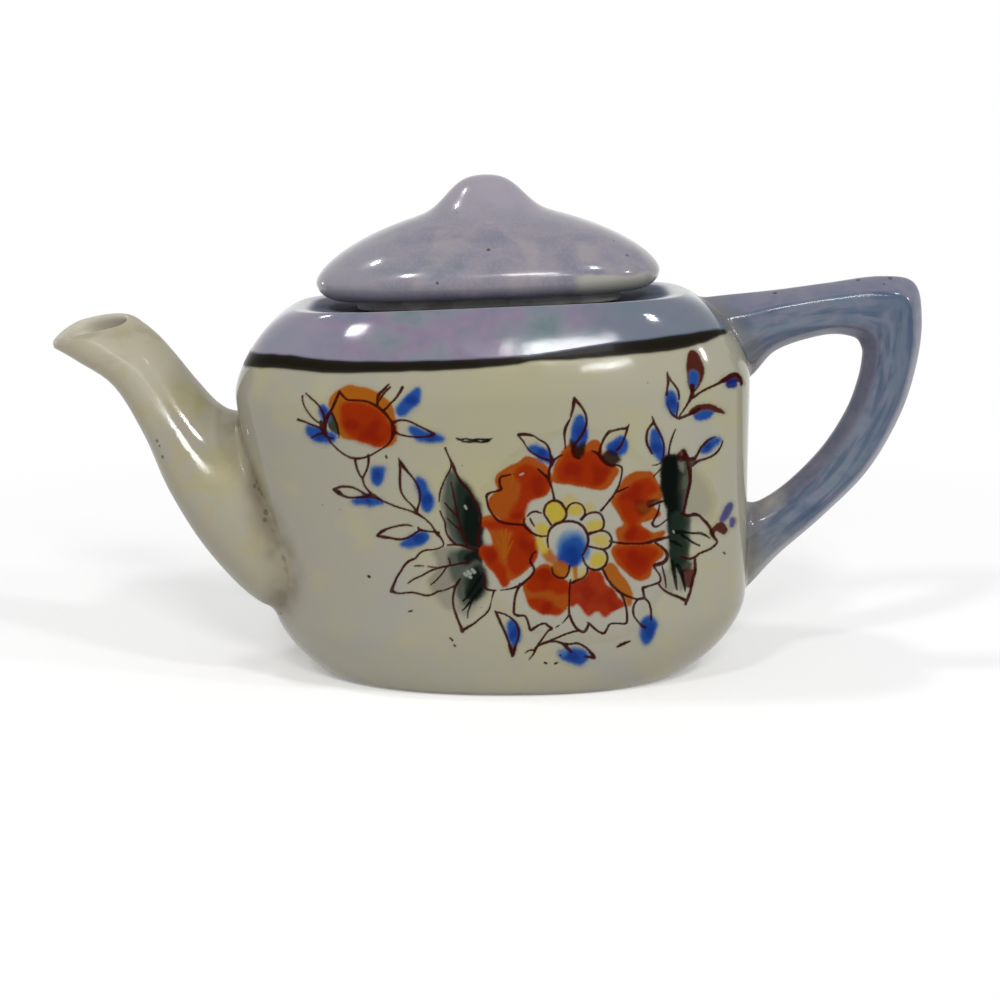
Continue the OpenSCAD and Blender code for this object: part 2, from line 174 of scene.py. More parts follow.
INK_STROKES = [
    # Bud and the small leaves round it
    [(339.5, 391.5, 2.4), (343, 396, 2.2), (348, 399.8, 1.8), (357, 400.3, 1.6), (366, 401.3, 2),
     (372, 403.5, 2.2), (378, 407, 2.6), (384, 412, 3), (389, 418, 2.2), (392, 423, 3), (393.5, 429, 4.6),
     (393, 435, 3.6), (390.5, 441, 1.9), (386, 446, 1.4), (378, 451, 1.4), (370, 455.5, 1.6),
     (362, 458, 1.8), (354, 458.3, 2.4), (347, 456, 1.6), (339, 450.5, 1.4), (331, 442.5, 1.6),
     (327, 436, 2.4)],
    [(339.5, 391.5, 2), (336, 400, 2.6), (332.5, 408, 2.4), (329.5, 413, 3), (326, 420, 4.4),
     (324.5, 428, 4.6), (326, 436, 3.2)],
    [(330.5, 411, 2.5), (334, 417, 1.8), (337, 425, 1.5), (338.5, 433, 1.1), (339, 438, 0.6)],
    [(306, 393.5, 1.2), (311, 398, 1.6), (317, 403.5, 1.6), (321, 409, 1.8), (324, 415, 2.4),
     (325, 421, 3)],
    [(302.5, 396, 1.6), (303, 402, 1.2), (306, 409, 1.2), (311, 416, 1.3), (317, 421.5, 1.5),
     (322, 424, 2.6)],
    [(298, 419.5, 2.2), (304, 421.5, 1.7), (311, 424.5, 1.9), (318, 427, 2.2), (323, 429.5, 3)],
    [(312, 437.5, 1.4), (318, 434.5, 2), (324, 433.5, 2.6), (328, 437, 2.2), (333, 438.5, 1.6)],
    [(321, 422, 3.4), (323, 428, 6), (325.5, 434, 4)],
    [(388.5, 384.5, 1.6), (384, 389.5, 2.4), (379, 394.5, 3), (377.5, 400, 2.4), (377.5, 406, 2.6)],
    [(390, 387.3, 1.8), (386, 391, 2.2), (382, 396, 1.8), (379, 401, 1.4)],
    [(402.5, 387.5, 2.8), (400, 392, 2.6), (396, 398, 2), (391, 403, 1.8), (386.5, 408, 2),
     (383, 411, 2.8)],
    [(394, 422, 3), (401, 420, 1.9), (408, 421, 1.7), (415, 424, 1.6), (422, 427.5, 1.8), (429, 431, 2.2),
     (434, 434, 2.6)],
    [(395, 432, 3.4), (399, 434.2, 2), (404, 435.5, 1.6), (412, 436.8, 1.6), (420, 437, 1.7),
     (428, 436.3, 2), (434, 434.5, 2.6)],
    # Stem of the bud and its leaves
    [(355, 458.5, 2.6), (356, 464, 2.2), (357.5, 470, 1.8), (360, 475, 1.6), (362.5, 478, 2)],
    [(368.5, 455.5, 2.8), (368.5, 462, 2.2), (367.5, 468, 1.9), (365, 473.5, 1.7), (362.5, 478.5, 2.2)],
    [(362.5, 478, 2.2), (364, 484, 1.7), (367, 489, 1.8), (371, 493.5, 2.8), (376, 497, 3.4),
     (382, 500.5, 2), (389, 503.5, 1.5), (396, 506.5, 1.7), (404, 509, 1.4), (411, 511, 1.6),
     (417, 513.5, 2.8), (424, 518, 1.6), (430, 523.5, 1.5), (434, 529, 1.8), (437, 533.5, 3),
     (441, 538, 1.8), (443.5, 543, 1.4), (442.5, 546.3, 1.2), (438.5, 548.3, 1.2), (433, 549.6, 1.3),
     (427, 550, 1.5), (422, 551.5, 1.6), (418, 555, 1.8), (415, 558.5, 1.8), (409, 561, 2.2), (404, 566, 2),
     (401, 571, 1.9), (397, 577, 2), (394.5, 583, 2.2), (392.5, 588, 3), (391.5, 591, 3.4)],
    [(333.5, 489.5, 2), (340, 487, 2.4), (347, 486.5, 2), (354, 488, 1.8), (360, 491, 1.8), (366, 495, 3.4),
     (371, 495.5, 4)],
    [(333.5, 489.5, 2), (338, 492, 4.4), (343, 495.5, 2.6), (349, 497.5, 2), (356, 497.5, 2),
     (363, 496.8, 2.5), (370, 495.8, 4), (376, 497, 3.6)],
    [(398.8, 458, 0.9), (400, 466, 2.5), (400, 475, 2.4), (400, 484, 2.4), (401, 491, 2), (404, 497, 1.6),
     (409, 502.5, 1.5), (414, 507.5, 1.8), (416.7, 512, 3)],
    [(399.5, 460, 1.4), (403, 466, 3.6), (408, 472, 2.2), (413, 478, 1.7), (417, 484, 1.8),
     (419.5, 491, 2.3), (420, 498, 2), (419, 504, 1.8), (417, 511, 2.4)],
    [(377, 535.5, 1.8), (382, 531.5, 3.2), (388, 528.5, 1.8), (395, 526.5, 1.6), (403, 525, 1.8),
     (409, 525.2, 1.4), (412.5, 526.2, 0.7)],
    [(377.5, 536, 2), (384, 537, 3), (391, 538, 2), (398, 539.3, 2.2), (405, 538.5, 2), (411, 536, 1.8),
     (416, 532.5, 1.7), (419, 530.5, 2.2)],
    [(418, 527.5, 1.4), (420, 529.7, 2.6), (426, 531, 1.7), (433, 531.7, 1.8), (438, 533, 3.4)],
    # Three veined leaves left of the flower
    [(445.3, 448, 1.8), (447, 452.5, 1.3), (450, 459, 1.6), (453, 466, 3.6), (456, 473, 2.2),
     (459, 479, 2.3), (463, 484, 2.2), (468, 489.5, 2.2), (472, 495.5, 2.6), (475, 502, 2.4),
     (478, 509, 2.2), (480.6, 515, 2), (480.6, 523, 1.8), (479.3, 531, 2.2), (478, 538, 2.4),
     (479, 546, 3)],
    [(451.5, 464, 1.8), (450, 470, 1.3), (446, 477, 1.2), (442.5, 485, 1.3), (440, 492, 1.6),
     (439.5, 497, 1.3), (439, 501.8, 0.7)],
    [(440, 511, 1.4), (442.5, 517, 1.7), (445, 523, 1.5), (445.5, 529, 1.6), (447.5, 535, 1.8),
     (451, 540, 2), (456, 544.5, 2.2)],
    [(451, 482, 0.8), (453, 492, 1.4), (455, 501, 1.6), (457, 511, 1.7), (459, 520, 1.6), (461, 529, 1.8),
     (464, 537, 2), (467, 545, 2.6)],
    [(445, 503, 1.1), (450, 509, 1.5), (455, 514, 1.5), (458, 518, 1.2)],
    [(447, 518, 0.8), (452, 523, 1.1), (457, 527.5, 1.3), (460, 530.5, 1.2)],
    [(447.5, 545, 1.4), (455, 544.6, 1.8), (463, 545.5, 2), (470, 548, 2.4), (477, 550, 3.2)],
    [(392, 591, 3.2), (398, 593.3, 1.7), (406, 592.8, 1.5), (413, 592.5, 1.6), (420, 594, 1.6),
     (426, 595.5, 1.8), (432, 594.5, 1.8), (438, 591.5, 1.8), (444, 590.3, 1.1), (450, 588, 1.4),
     (456, 585, 2.2), (460, 579, 1.8)],
    [(408, 583.2, 1.1), (414, 579, 1.4), (422, 575.5, 1.5), (430, 571, 1.8), (438, 568, 1.9),
     (446, 566.3, 1.8), (453, 565, 1.6), (460, 563.5, 1.6), (468, 562.5, 1.8)],
    [(414.5, 566, 0.8), (419, 565.7, 1.3), (423.5, 566, 0.6)],
    [(428, 566.3, 0.9), (434, 567.3, 1.2), (438, 568, 1.4)],
    [(431, 584.5, 1), (436, 580.5, 1.3), (441, 575, 1.4), (445, 569.5, 1.4), (447, 566.5, 1.2)],
    [(448, 557.5, 0.8), (449.5, 560, 1.3), (450, 563, 1.6), (450.3, 566, 0.7)],
    [(460, 579, 1.8), (455.5, 586, 2.6), (454, 592, 2), (453, 599, 1.9), (453.5, 606, 1.9),
     (455.5, 613, 2.5), (458, 620, 2), (460.5, 626, 2.6), (462.3, 631, 3.8)],
    [(462.5, 630.5, 3.4), (468, 627, 2.4), (474, 623.5, 1.8), (480, 618.5, 1.5), (485, 614.5, 1.6),
     (489, 609.5, 1.6), (490.7, 604, 1), (491.5, 600, 0.6), (492.5, 596, 1.4), (494, 590.8, 2)],
    [(495.8, 590.4, 1.4), (490, 590, 2), (485.5, 588, 2), (484.3, 583, 1.8), (485, 578, 1.6),
     (482.5, 573, 2)],
    # Flower
    [(513, 474, 1), (506, 475.5, 1.6), (501, 476.7, 1.9), (499.5, 480.5, 2.2), (500, 485, 2.3),
     (501, 489, 2.8), (497, 491, 1.7), (491, 492.5, 2), (487, 495, 2.8), (487, 500, 2.1), (488, 506, 2.1),
     (491, 512, 2.1), (495, 517.5, 2.1), (499, 521, 2.4), (506, 523.2, 2.4), (515, 524.3, 2),
     (523, 525, 2.2), (528, 529.5, 2.4), (534, 534, 2.1), (540, 536, 1.8), (547, 536, 1.3)],
    [(538, 469, 1.8), (543, 473.5, 2.4), (547.5, 477.5, 3), (550, 483, 2.2), (552, 489, 2),
     (553.5, 495, 2.1), (554.3, 500, 2.6)],
    [(552.5, 460, 3.4), (550.5, 466, 2.6), (549, 472, 2.4), (549, 479, 2.4)],
    [(563, 454.7, 0.9), (558, 456.7, 1.4), (553.5, 461, 2.4)],
    [(592, 451, 1.2), (597, 453, 2.6), (601, 457.5, 3.6), (605, 462.5, 3), (610, 465, 2.2),
     (616, 465.2, 1.7), (621, 466.6, 2), (622, 471, 1.8), (621, 478, 1.7), (619, 485, 1.7), (616, 491, 2),
     (613, 496, 1.9), (609, 501, 2), (605, 506, 1.7), (601, 510.5, 2.4)],
    [(616, 492, 1.8), (622, 489.8, 1.5), (628, 487, 0.8)],
    [(653.5, 476.5, 0.8), (657.5, 472.3, 1.1), (661.5, 468, 1.1)],
    [(650, 506.5, 1.6), (655, 504, 2), (660, 502, 1.8), (664, 501.3, 1.4)],
    [(659.5, 505, 1.3), (658, 512, 1.7), (654.5, 519, 2), (652.3, 523.5, 2.6), (655, 526.7, 2.2),
     (660, 525, 1.4), (664, 521.8, 1.2), (667.5, 519, 0.9)],
    [(610, 541, 1.8), (616, 542.3, 2), (624, 543.3, 1.9), (634, 543.5, 1.8), (643, 543.3, 2), (650, 542, 3),
     (657, 540, 3.4), (663, 538.3, 2.8), (669, 537, 2.4)],
    [(655, 542.5, 1.8), (661, 546.5, 2.2), (666, 551.5, 3), (667, 557, 3), (664, 562, 3.8),
     (658, 564.3, 3.8), (654, 566, 3), (657, 571, 1.7), (660, 576, 1.7), (660.3, 581, 2), (657, 583.2, 2),
     (652, 585, 1.8), (647, 586.6, 2), (643, 588, 3), (643.5, 593, 2.4), (643.5, 598, 2.6), (637, 599, 2),
     (631, 597.3, 1.8), (626, 595.5, 2.2), (621, 593.3, 3), (616, 589, 2.8), (611, 584, 2.5),
     (607, 578, 2.3), (604, 572, 2.3), (602, 568.5, 2.5)],
    [(621, 593.5, 2.6), (624, 600, 2.1), (626, 607, 2.1), (627, 614, 2.2), (627, 621, 2.4), (625, 623.6, 2),
     (619, 623.5, 1.6), (612.5, 623.3, 1.5), (609, 625, 1.9), (607, 629, 2), (604, 633, 2.6),
     (600, 632.3, 2.1), (595, 629, 2.3), (591, 625, 2.4), (587.5, 622.5, 1.6)],
    [(588.5, 624.5, 2.2), (586.5, 629, 3), (583.5, 632, 2.5), (578.5, 630, 2.9), (575, 626.5, 2.7),
     (572, 621, 2.5), (569.5, 614.5, 2.5), (569, 607, 1.8), (569.3, 600, 1.6), (569.5, 590, 1.6),
     (570.5, 580, 1.8)],
    [(520, 584.5, 3), (516.5, 592, 2.3), (514.7, 600, 2.3), (514, 608, 2.3), (514.2, 613.5, 2.7),
     (518, 615.5, 2.7), (524, 615.7, 2.1), (527, 619, 2.3), (528.5, 624, 2.3), (530.7, 629.7, 3),
     (535, 627.5, 2.3), (540, 624.5, 1.9), (545, 623.5, 2.1), (548.5, 626, 2.5), (551.5, 628.5, 2.9),
     (548, 631, 1.9), (545, 635, 1.7), (541.5, 640, 1.7), (538, 645, 2.1), (535.3, 649.5, 2.6),
     (533.8, 653.5, 1.6), (531, 657, 1.1), (529, 659.5, 0.6)],
    [(569, 615, 1.8), (566, 619, 1.4), (562.5, 623, 0.8)],
    [(560, 624.8, 0.5), (557.5, 626.3, 1.1), (555.5, 627.5, 0.6)],
    [(531, 557, 1.8), (530.5, 562, 2.4), (533.5, 567, 2.4), (533.8, 571.5, 1.9), (531, 576, 1.9),
     (526, 580.5, 2.2), (521, 584.7, 3), (516, 587, 2.2), (511, 588.5, 1.6), (506, 589.5, 1.2),
     (500.5, 590, 0.6)],
    [(536, 551.5, 1.1), (532.5, 554, 1.5), (531, 558, 1.8)],
    # Dots round the disc, and the disc
    [(548.5, 547, 1.4), (547.5, 540, 1.8), (548.5, 533, 1.9), (551.5, 527.5, 2.6), (557, 523.5, 2.8),
     (565, 521.3, 2.4), (573, 521.5, 2.4), (580, 524, 2.6), (585, 529.5, 2.8), (587.8, 536, 2.6),
     (587.8, 543, 2.5), (585.5, 549.5, 2.2), (582, 555.5, 1.8)],
    [(551, 524.5, 2.2), (546.5, 518, 2), (544, 512, 2.2), (545.5, 506, 2.1), (549.5, 502, 2.2),
     (554.5, 500.5, 2.6), (560, 502.3, 2.8), (564, 507, 2.6), (566.3, 512, 2.4), (565.5, 517.5, 2.4),
     (562, 521.5, 2.2)],
    [(566.5, 510, 2.1), (569, 505.5, 1.7), (574, 502.8, 1.5), (580, 503.8, 1.6), (584, 508, 1.8),
     (584.8, 514, 2), (581, 519.5, 2.4)],
    [(581.5, 519.5, 2.4), (586, 515, 1.9), (592, 512.5, 2), (598, 512.7, 2.2), (602, 516, 2.2),
     (604, 522, 2), (602.8, 528, 1.9), (599, 530.7, 2), (593, 532.3, 2.2), (587.5, 533.5, 2.4)],
    [(588.5, 534.5, 2.2), (594, 532.5, 1.9), (601, 530.7, 1.8), (607, 532, 2), (610.8, 536.5, 2.2),
     (611.5, 542, 2.4), (609, 547, 2.2), (603, 549.2, 2.2), (596, 548, 2), (589, 546.3, 2)],
    [(603, 549.3, 2), (606.3, 553.5, 2.2), (607.5, 559, 2.2), (605.5, 564.5, 2.2), (601, 568.5, 2.4),
     (595, 569.8, 2.2), (588.5, 567.5, 2.2), (584.5, 562.5, 1.9), (583, 557.5, 1.7)],
    [(587.5, 568, 2.2), (586.8, 573, 1.6), (583.5, 577.5, 1.7), (577.5, 580, 2.2), (572, 582.5, 2.6)],
    [(569.3, 566, 1.6), (568.5, 572, 1.7), (565.5, 577, 1.9), (559, 577.5, 1.9), (553.5, 574, 1.7),
     (552, 568, 1.3)],
    [(527.5, 516, 1.5), (531, 512.7, 1.8), (536, 511.5, 2), (541, 513, 1.4)],
    [(524, 519, 1.6), (524.5, 524, 2.4), (527.5, 528.5, 2.4)],
    [(530, 518.5, 1.4), (532, 522.5, 2), (534.3, 526, 1.3)],
    # Three leaves over the flower
    [(518.5, 435, 3), (523, 434.2, 3), (530, 435, 2.5), (534.5, 436.3, 1.4), (539, 439.5, 1.9),
     (545, 443, 2.1), (549, 448.5, 2.3), (550.5, 455, 2.4), (552.5, 461, 3.6), (551, 466, 2.6)],
    [(519.5, 437, 1.5), (523, 441, 1.5), (526, 446, 1.2), (530, 451, 1.7), (536, 455, 1.9), (542, 458, 2.1),
     (548, 459.8, 2.6), (552, 461.5, 3.6)],
    [(574.3, 397.5, 1.8), (574, 401.5, 3.4), (573, 408, 2.7), (571.5, 414, 2.3), (570.5, 418.5, 0.9)],
    [(570, 419.5, 1.4), (566.8, 425, 2.5), (564.8, 431, 2.9), (564.5, 437, 2.1), (565, 443, 1.4),
     (565.3, 448, 1.4)],
    [(574.5, 397.8, 1.8), (577.5, 402, 3), (581.5, 407, 2.3), (585, 413, 2.3), (586.5, 419, 2.3),
     (586, 426, 2.1), (583, 433, 2.3), (579, 439, 2.5), (575, 444, 2.7), (573, 450, 3.4), (574.5, 456, 2.8),
     (579.5, 458.3, 1.6)],
    [(628.8, 424.5, 0.7), (626.8, 428, 2.6), (620, 429, 2), (614, 430.5, 2.1), (609, 432, 2.9),
     (605, 437, 2.5), (602, 443, 2.3), (600, 449, 2.3), (599.5, 455, 2.6)],
    [(627, 429, 2.4), (625.5, 435, 1.9), (623, 441, 1.9), (620.5, 446, 2.1), (617, 450, 2.4)],
    # Leaves right of the flower
    [(652, 416.5, 0.7), (653.5, 422, 2.6), (650, 426.5, 2.1), (647.5, 431, 2.1), (646.5, 437, 2.3),
     (647, 443, 2.5), (649, 448, 2.3), (652, 453.5, 1.8)],
    [(653.5, 422, 2.6), (657, 428, 2.5), (660, 434, 2.1), (662.5, 440, 1.9), (664, 446, 1.7),
     (663.7, 453, 1.5), (662, 461, 1.4)],
    [(675.5, 429.3, 0.7), (673, 435, 1.4), (671, 441, 1.7), (669.5, 447, 1.6), (668.5, 455, 1.9)],
    [(652.3, 465.2, 0.7), (657, 464.7, 1), (661, 462.7, 0.9)],
    [(722.7, 441, 1), (720.5, 447, 1.5), (717, 452, 1.9), (712, 456, 1.9), (706, 458.5, 1.9),
     (701, 460, 2.3), (697, 461.5, 2.8), (692.5, 464.5, 4)],
    [(715, 436.9, 0.9), (709, 439.5, 2.1), (704, 444, 2.3), (700, 449, 2.1), (697.5, 454, 2.2),
     (694.5, 459, 3.4)],
    [(692, 386, 4.6), (692.3, 391, 4), (692, 395.5, 4.6), (689.5, 400.5, 2.8), (686.5, 405.5, 1.8),
     (683, 411, 1.4), (680, 415, 1.6), (679.3, 418.5, 2.4)],
    [(694, 397, 2.4), (700, 392.5, 2), (707, 388.7, 2), (714, 385.5, 2), (720, 382.5, 2.8), (726, 378.8, 4),
     (731, 375.8, 4.6), (736, 374.7, 4.2), (740, 377.8, 3.2), (741.5, 382, 3), (741, 385, 1.8)],
    [(678.5, 418.3, 2.4), (684, 416.6, 2.4), (689, 414.3, 2.8), (694, 412, 3.4), (699, 409, 3)],
    [(667.2, 372.3, 0.9), (668, 378, 2.8), (668, 384, 2.2), (667, 390, 2.1), (666.3, 395, 2.1)],
    [(668.3, 377, 2.8), (672, 382, 1.9), (676, 387, 1.9), (678.5, 392.5, 2.1), (679, 399, 1.4)],
    [(678, 402.3, 0.8), (677.7, 407, 1.1), (677, 412, 1.3), (676.5, 417, 2)],
    [(667.5, 403, 0.7), (669.5, 409.5, 1), (672.5, 414.8, 1.9), (677, 417.8, 2.4)],
    [(683.5, 450.5, 2), (685.5, 455, 4), (688.5, 461, 5), (689.5, 468, 4.4), (690, 475, 3.4),
     (690, 482, 3.2), (688.5, 489, 2.8), (687, 496, 2.6), (685.5, 503, 2.2), (684, 511, 2.6)],
    [(683, 457, 3), (689, 460, 5), (694.5, 458.5, 3.8)],
    [(682, 513.5, 3), (688, 515.7, 3), (694, 514.3, 3.4), (699, 515.7, 2.7), (703, 519.5, 2.7),
     (707, 523.5, 3.1), (710, 528, 2.9), (712, 533, 2.7), (714.5, 538, 2.8), (717, 541.5, 2),
     (715, 545, 1.9), (710, 549, 1.9), (704, 551.5, 1.9), (699, 553.7, 1.7), (695, 557, 2.4),
     (690, 558.7, 2.4), (684, 557.5, 1.8), (680, 556.5, 1.1)],
    [(694.5, 558, 3), (695, 565, 2.7), (695, 571, 3.2), (693, 578, 2.7), (691.5, 585, 2.7), (690, 592, 2.5),
     (688, 597.5, 2.7), (685.5, 604, 2.4)],
    [(658, 583, 2.2), (661, 587.5, 1.9), (666, 591.5, 2.1), (672, 594.5, 2.5), (679, 597.2, 2.7),
     (685.5, 600.5, 3.6)],
    [(662, 566, 1.3), (664, 574, 1.7), (665.5, 581, 1.6), (666, 587.5, 1)],
    # Leaves under the flower
    [(495.5, 611.5, 2), (499, 619, 2.7), (502.5, 627, 2.4), (506, 635, 2.3), (508.5, 642, 2.1),
     (510.5, 648, 2.5), (512.3, 656, 2.4)],
    [(495.7, 612, 2.2), (503, 613.5, 1.6), (509, 616.5, 1.7), (514, 620.5, 2.1), (517.5, 626, 2.5),
     (519, 633, 2.1), (517.3, 641, 1.7), (514.7, 648, 2.2), (512.5, 656, 2.4)],
    [(538, 645.5, 2), (545, 642.7, 2.4), (552, 641, 2.3), (558.5, 642, 2), (564, 644.5, 3.2),
     (568, 648.5, 3.4), (571.7, 652, 1.9)],
    [(562, 643.5, 2.2), (570, 644, 2.1), (577, 643.2, 2.1), (583, 645.5, 2), (588, 649.5, 2.2),
     (592, 654, 3.2), (594, 657.3, 3.8)],
    [(594, 657.5, 3.2), (588, 656.8, 2.2), (584, 656, 1)],
    [(550, 640.5, 1.8), (558, 637.3, 1.9), (565, 634.3, 1.8), (572, 632, 1.9), (578.5, 630.3, 2.4)],
    [(643.5, 598, 2.4), (638, 599.5, 2.1), (634.5, 604, 1.9), (633, 610, 2.3), (634, 616, 1.9),
     (637.5, 621, 1.7), (642, 625.7, 2.4), (645, 627, 2.8)],
    [(644.5, 598, 2.4), (648.5, 602, 2.1), (650.5, 608, 2.1), (651.2, 614, 1.9), (651, 620, 1.6)],
    [(525, 653, 0.6), (529, 650.6, 1.2), (533, 650, 1.6), (534.3, 652.5, 1.3)],
    [(617.3, 646.8, 1.4), (621, 644.7, 2.7), (626, 642.6, 2.3), (630.5, 640.9, 0.8)],
]
# Veins of the leaves, dashes and flecks
GREEN_STROKES = [
    [(481, 576, 2.6), (476, 584, 3.2), (471, 591, 2.6), (467, 597, 2), (463, 601, 1)],
    [(481, 589, 2.6), (475, 596, 2.6), (470, 602, 2), (466, 607, 1.6), (462.5, 610.2, 0.9)],
    [(473, 599, 1.4), (470, 606, 1.4), (468, 612, 1.3), (467.5, 618, 0.7)],
    [(674, 532, 3.6), (681, 532, 3.8), (688, 532.6, 2), (694, 533.2, 1.8), (700, 533.2, 2.4),
     (705, 535, 1.9), (709.7, 538, 1)],
    [(682, 535, 3), (688, 539, 1.9), (693, 542.5, 1.9), (699.5, 545.6, 1.3)],
    [(671, 541, 2.6), (676, 543, 3), (681, 546, 1.4)],
    [(672, 561, 3), (673.5, 570, 3.5), (675, 578, 3.4), (676, 585, 2.6), (677, 589.5, 1.3)],
    [(677, 565, 4), (681, 572, 4.4), (683, 580, 3), (684.7, 587, 2.2), (685, 591, 1)],
    [(456.5, 438.3, 1.2), (461, 439.8, 2.2), (466, 438.8, 1.2), (472, 440, 2.2), (479, 439.2, 1.6),
     (486, 439.8, 2.2), (492, 438.6, 0.8)],
    [(462, 441.4, 1), (469, 441.8, 2.2), (475, 441, 2.6), (481, 442.2, 1.4), (487, 441, 2.6),
     (490, 440.6, 1)],
    [(544.5, 662.6, 1.4), (546.5, 663.4, 1.6)],
    [(555, 663.4, 1.6), (557.5, 662.8, 1.2)],
    [(559.6, 654.6, 1), (560.6, 655.6, 1.2)],
    [(409, 611.4, 1), (412, 610.8, 1.4)],
    [(386, 456, 1.6), (386.6, 457.4, 1.8)],
    [(368.4, 576, 1.8), (369.4, 577, 2)],
    [(723.6, 552.6, 1.2), (724.8, 553.6, 1.4)],
    [(450, 638, 1), (452.5, 640.4, 1.4)],
    [(454, 645, 0.9), (455.4, 646, 1.1)],
]
# Hatching in a petal and in the disc of the flower
HATCHING = [
    [(503.5, 558, 0.6), (502.5, 549, 1), (496.5, 539, 0.6)],
    [(504, 556, 0.6), (503.5, 545, 1), (501.5, 531, 0.7)],
    [(504, 556, 0.6), (505, 544, 1), (506, 529, 0.8)],
    [(504.5, 556, 0.6), (507, 545, 1), (510.5, 533, 0.7)],
    [(504.5, 558, 0.6), (509, 549, 1), (513, 541, 0.6)],
    [(510, 470, 0.6), (513, 477, 1.2), (512, 484, 0.7)],
]
# Small pale marks over the rest: spots where leaves and petals were left unpainted, and one painted highlight
# on a petal
BARE_AND_HIGHLIGHT_MARKS = [
    [(464.5, 573.5, 2.4), (466.5, 575, 3)],
    [(468, 571.5, 3), (470, 573.5, 3.4)],
    [(472, 569.5, 2.4), (474.5, 572, 3)],
    [(469, 576.5, 2), (471, 577.5, 2)],
    [(465, 506, 1.8), (466.5, 508.5, 1.6)],
    [(673, 531, 1.2), (674, 532.4, 1.2)],
    # Painted highlight: a pale glint on the upper petal
    [(520, 474.8, 1.2), (523, 473.6, 1.8)],
]

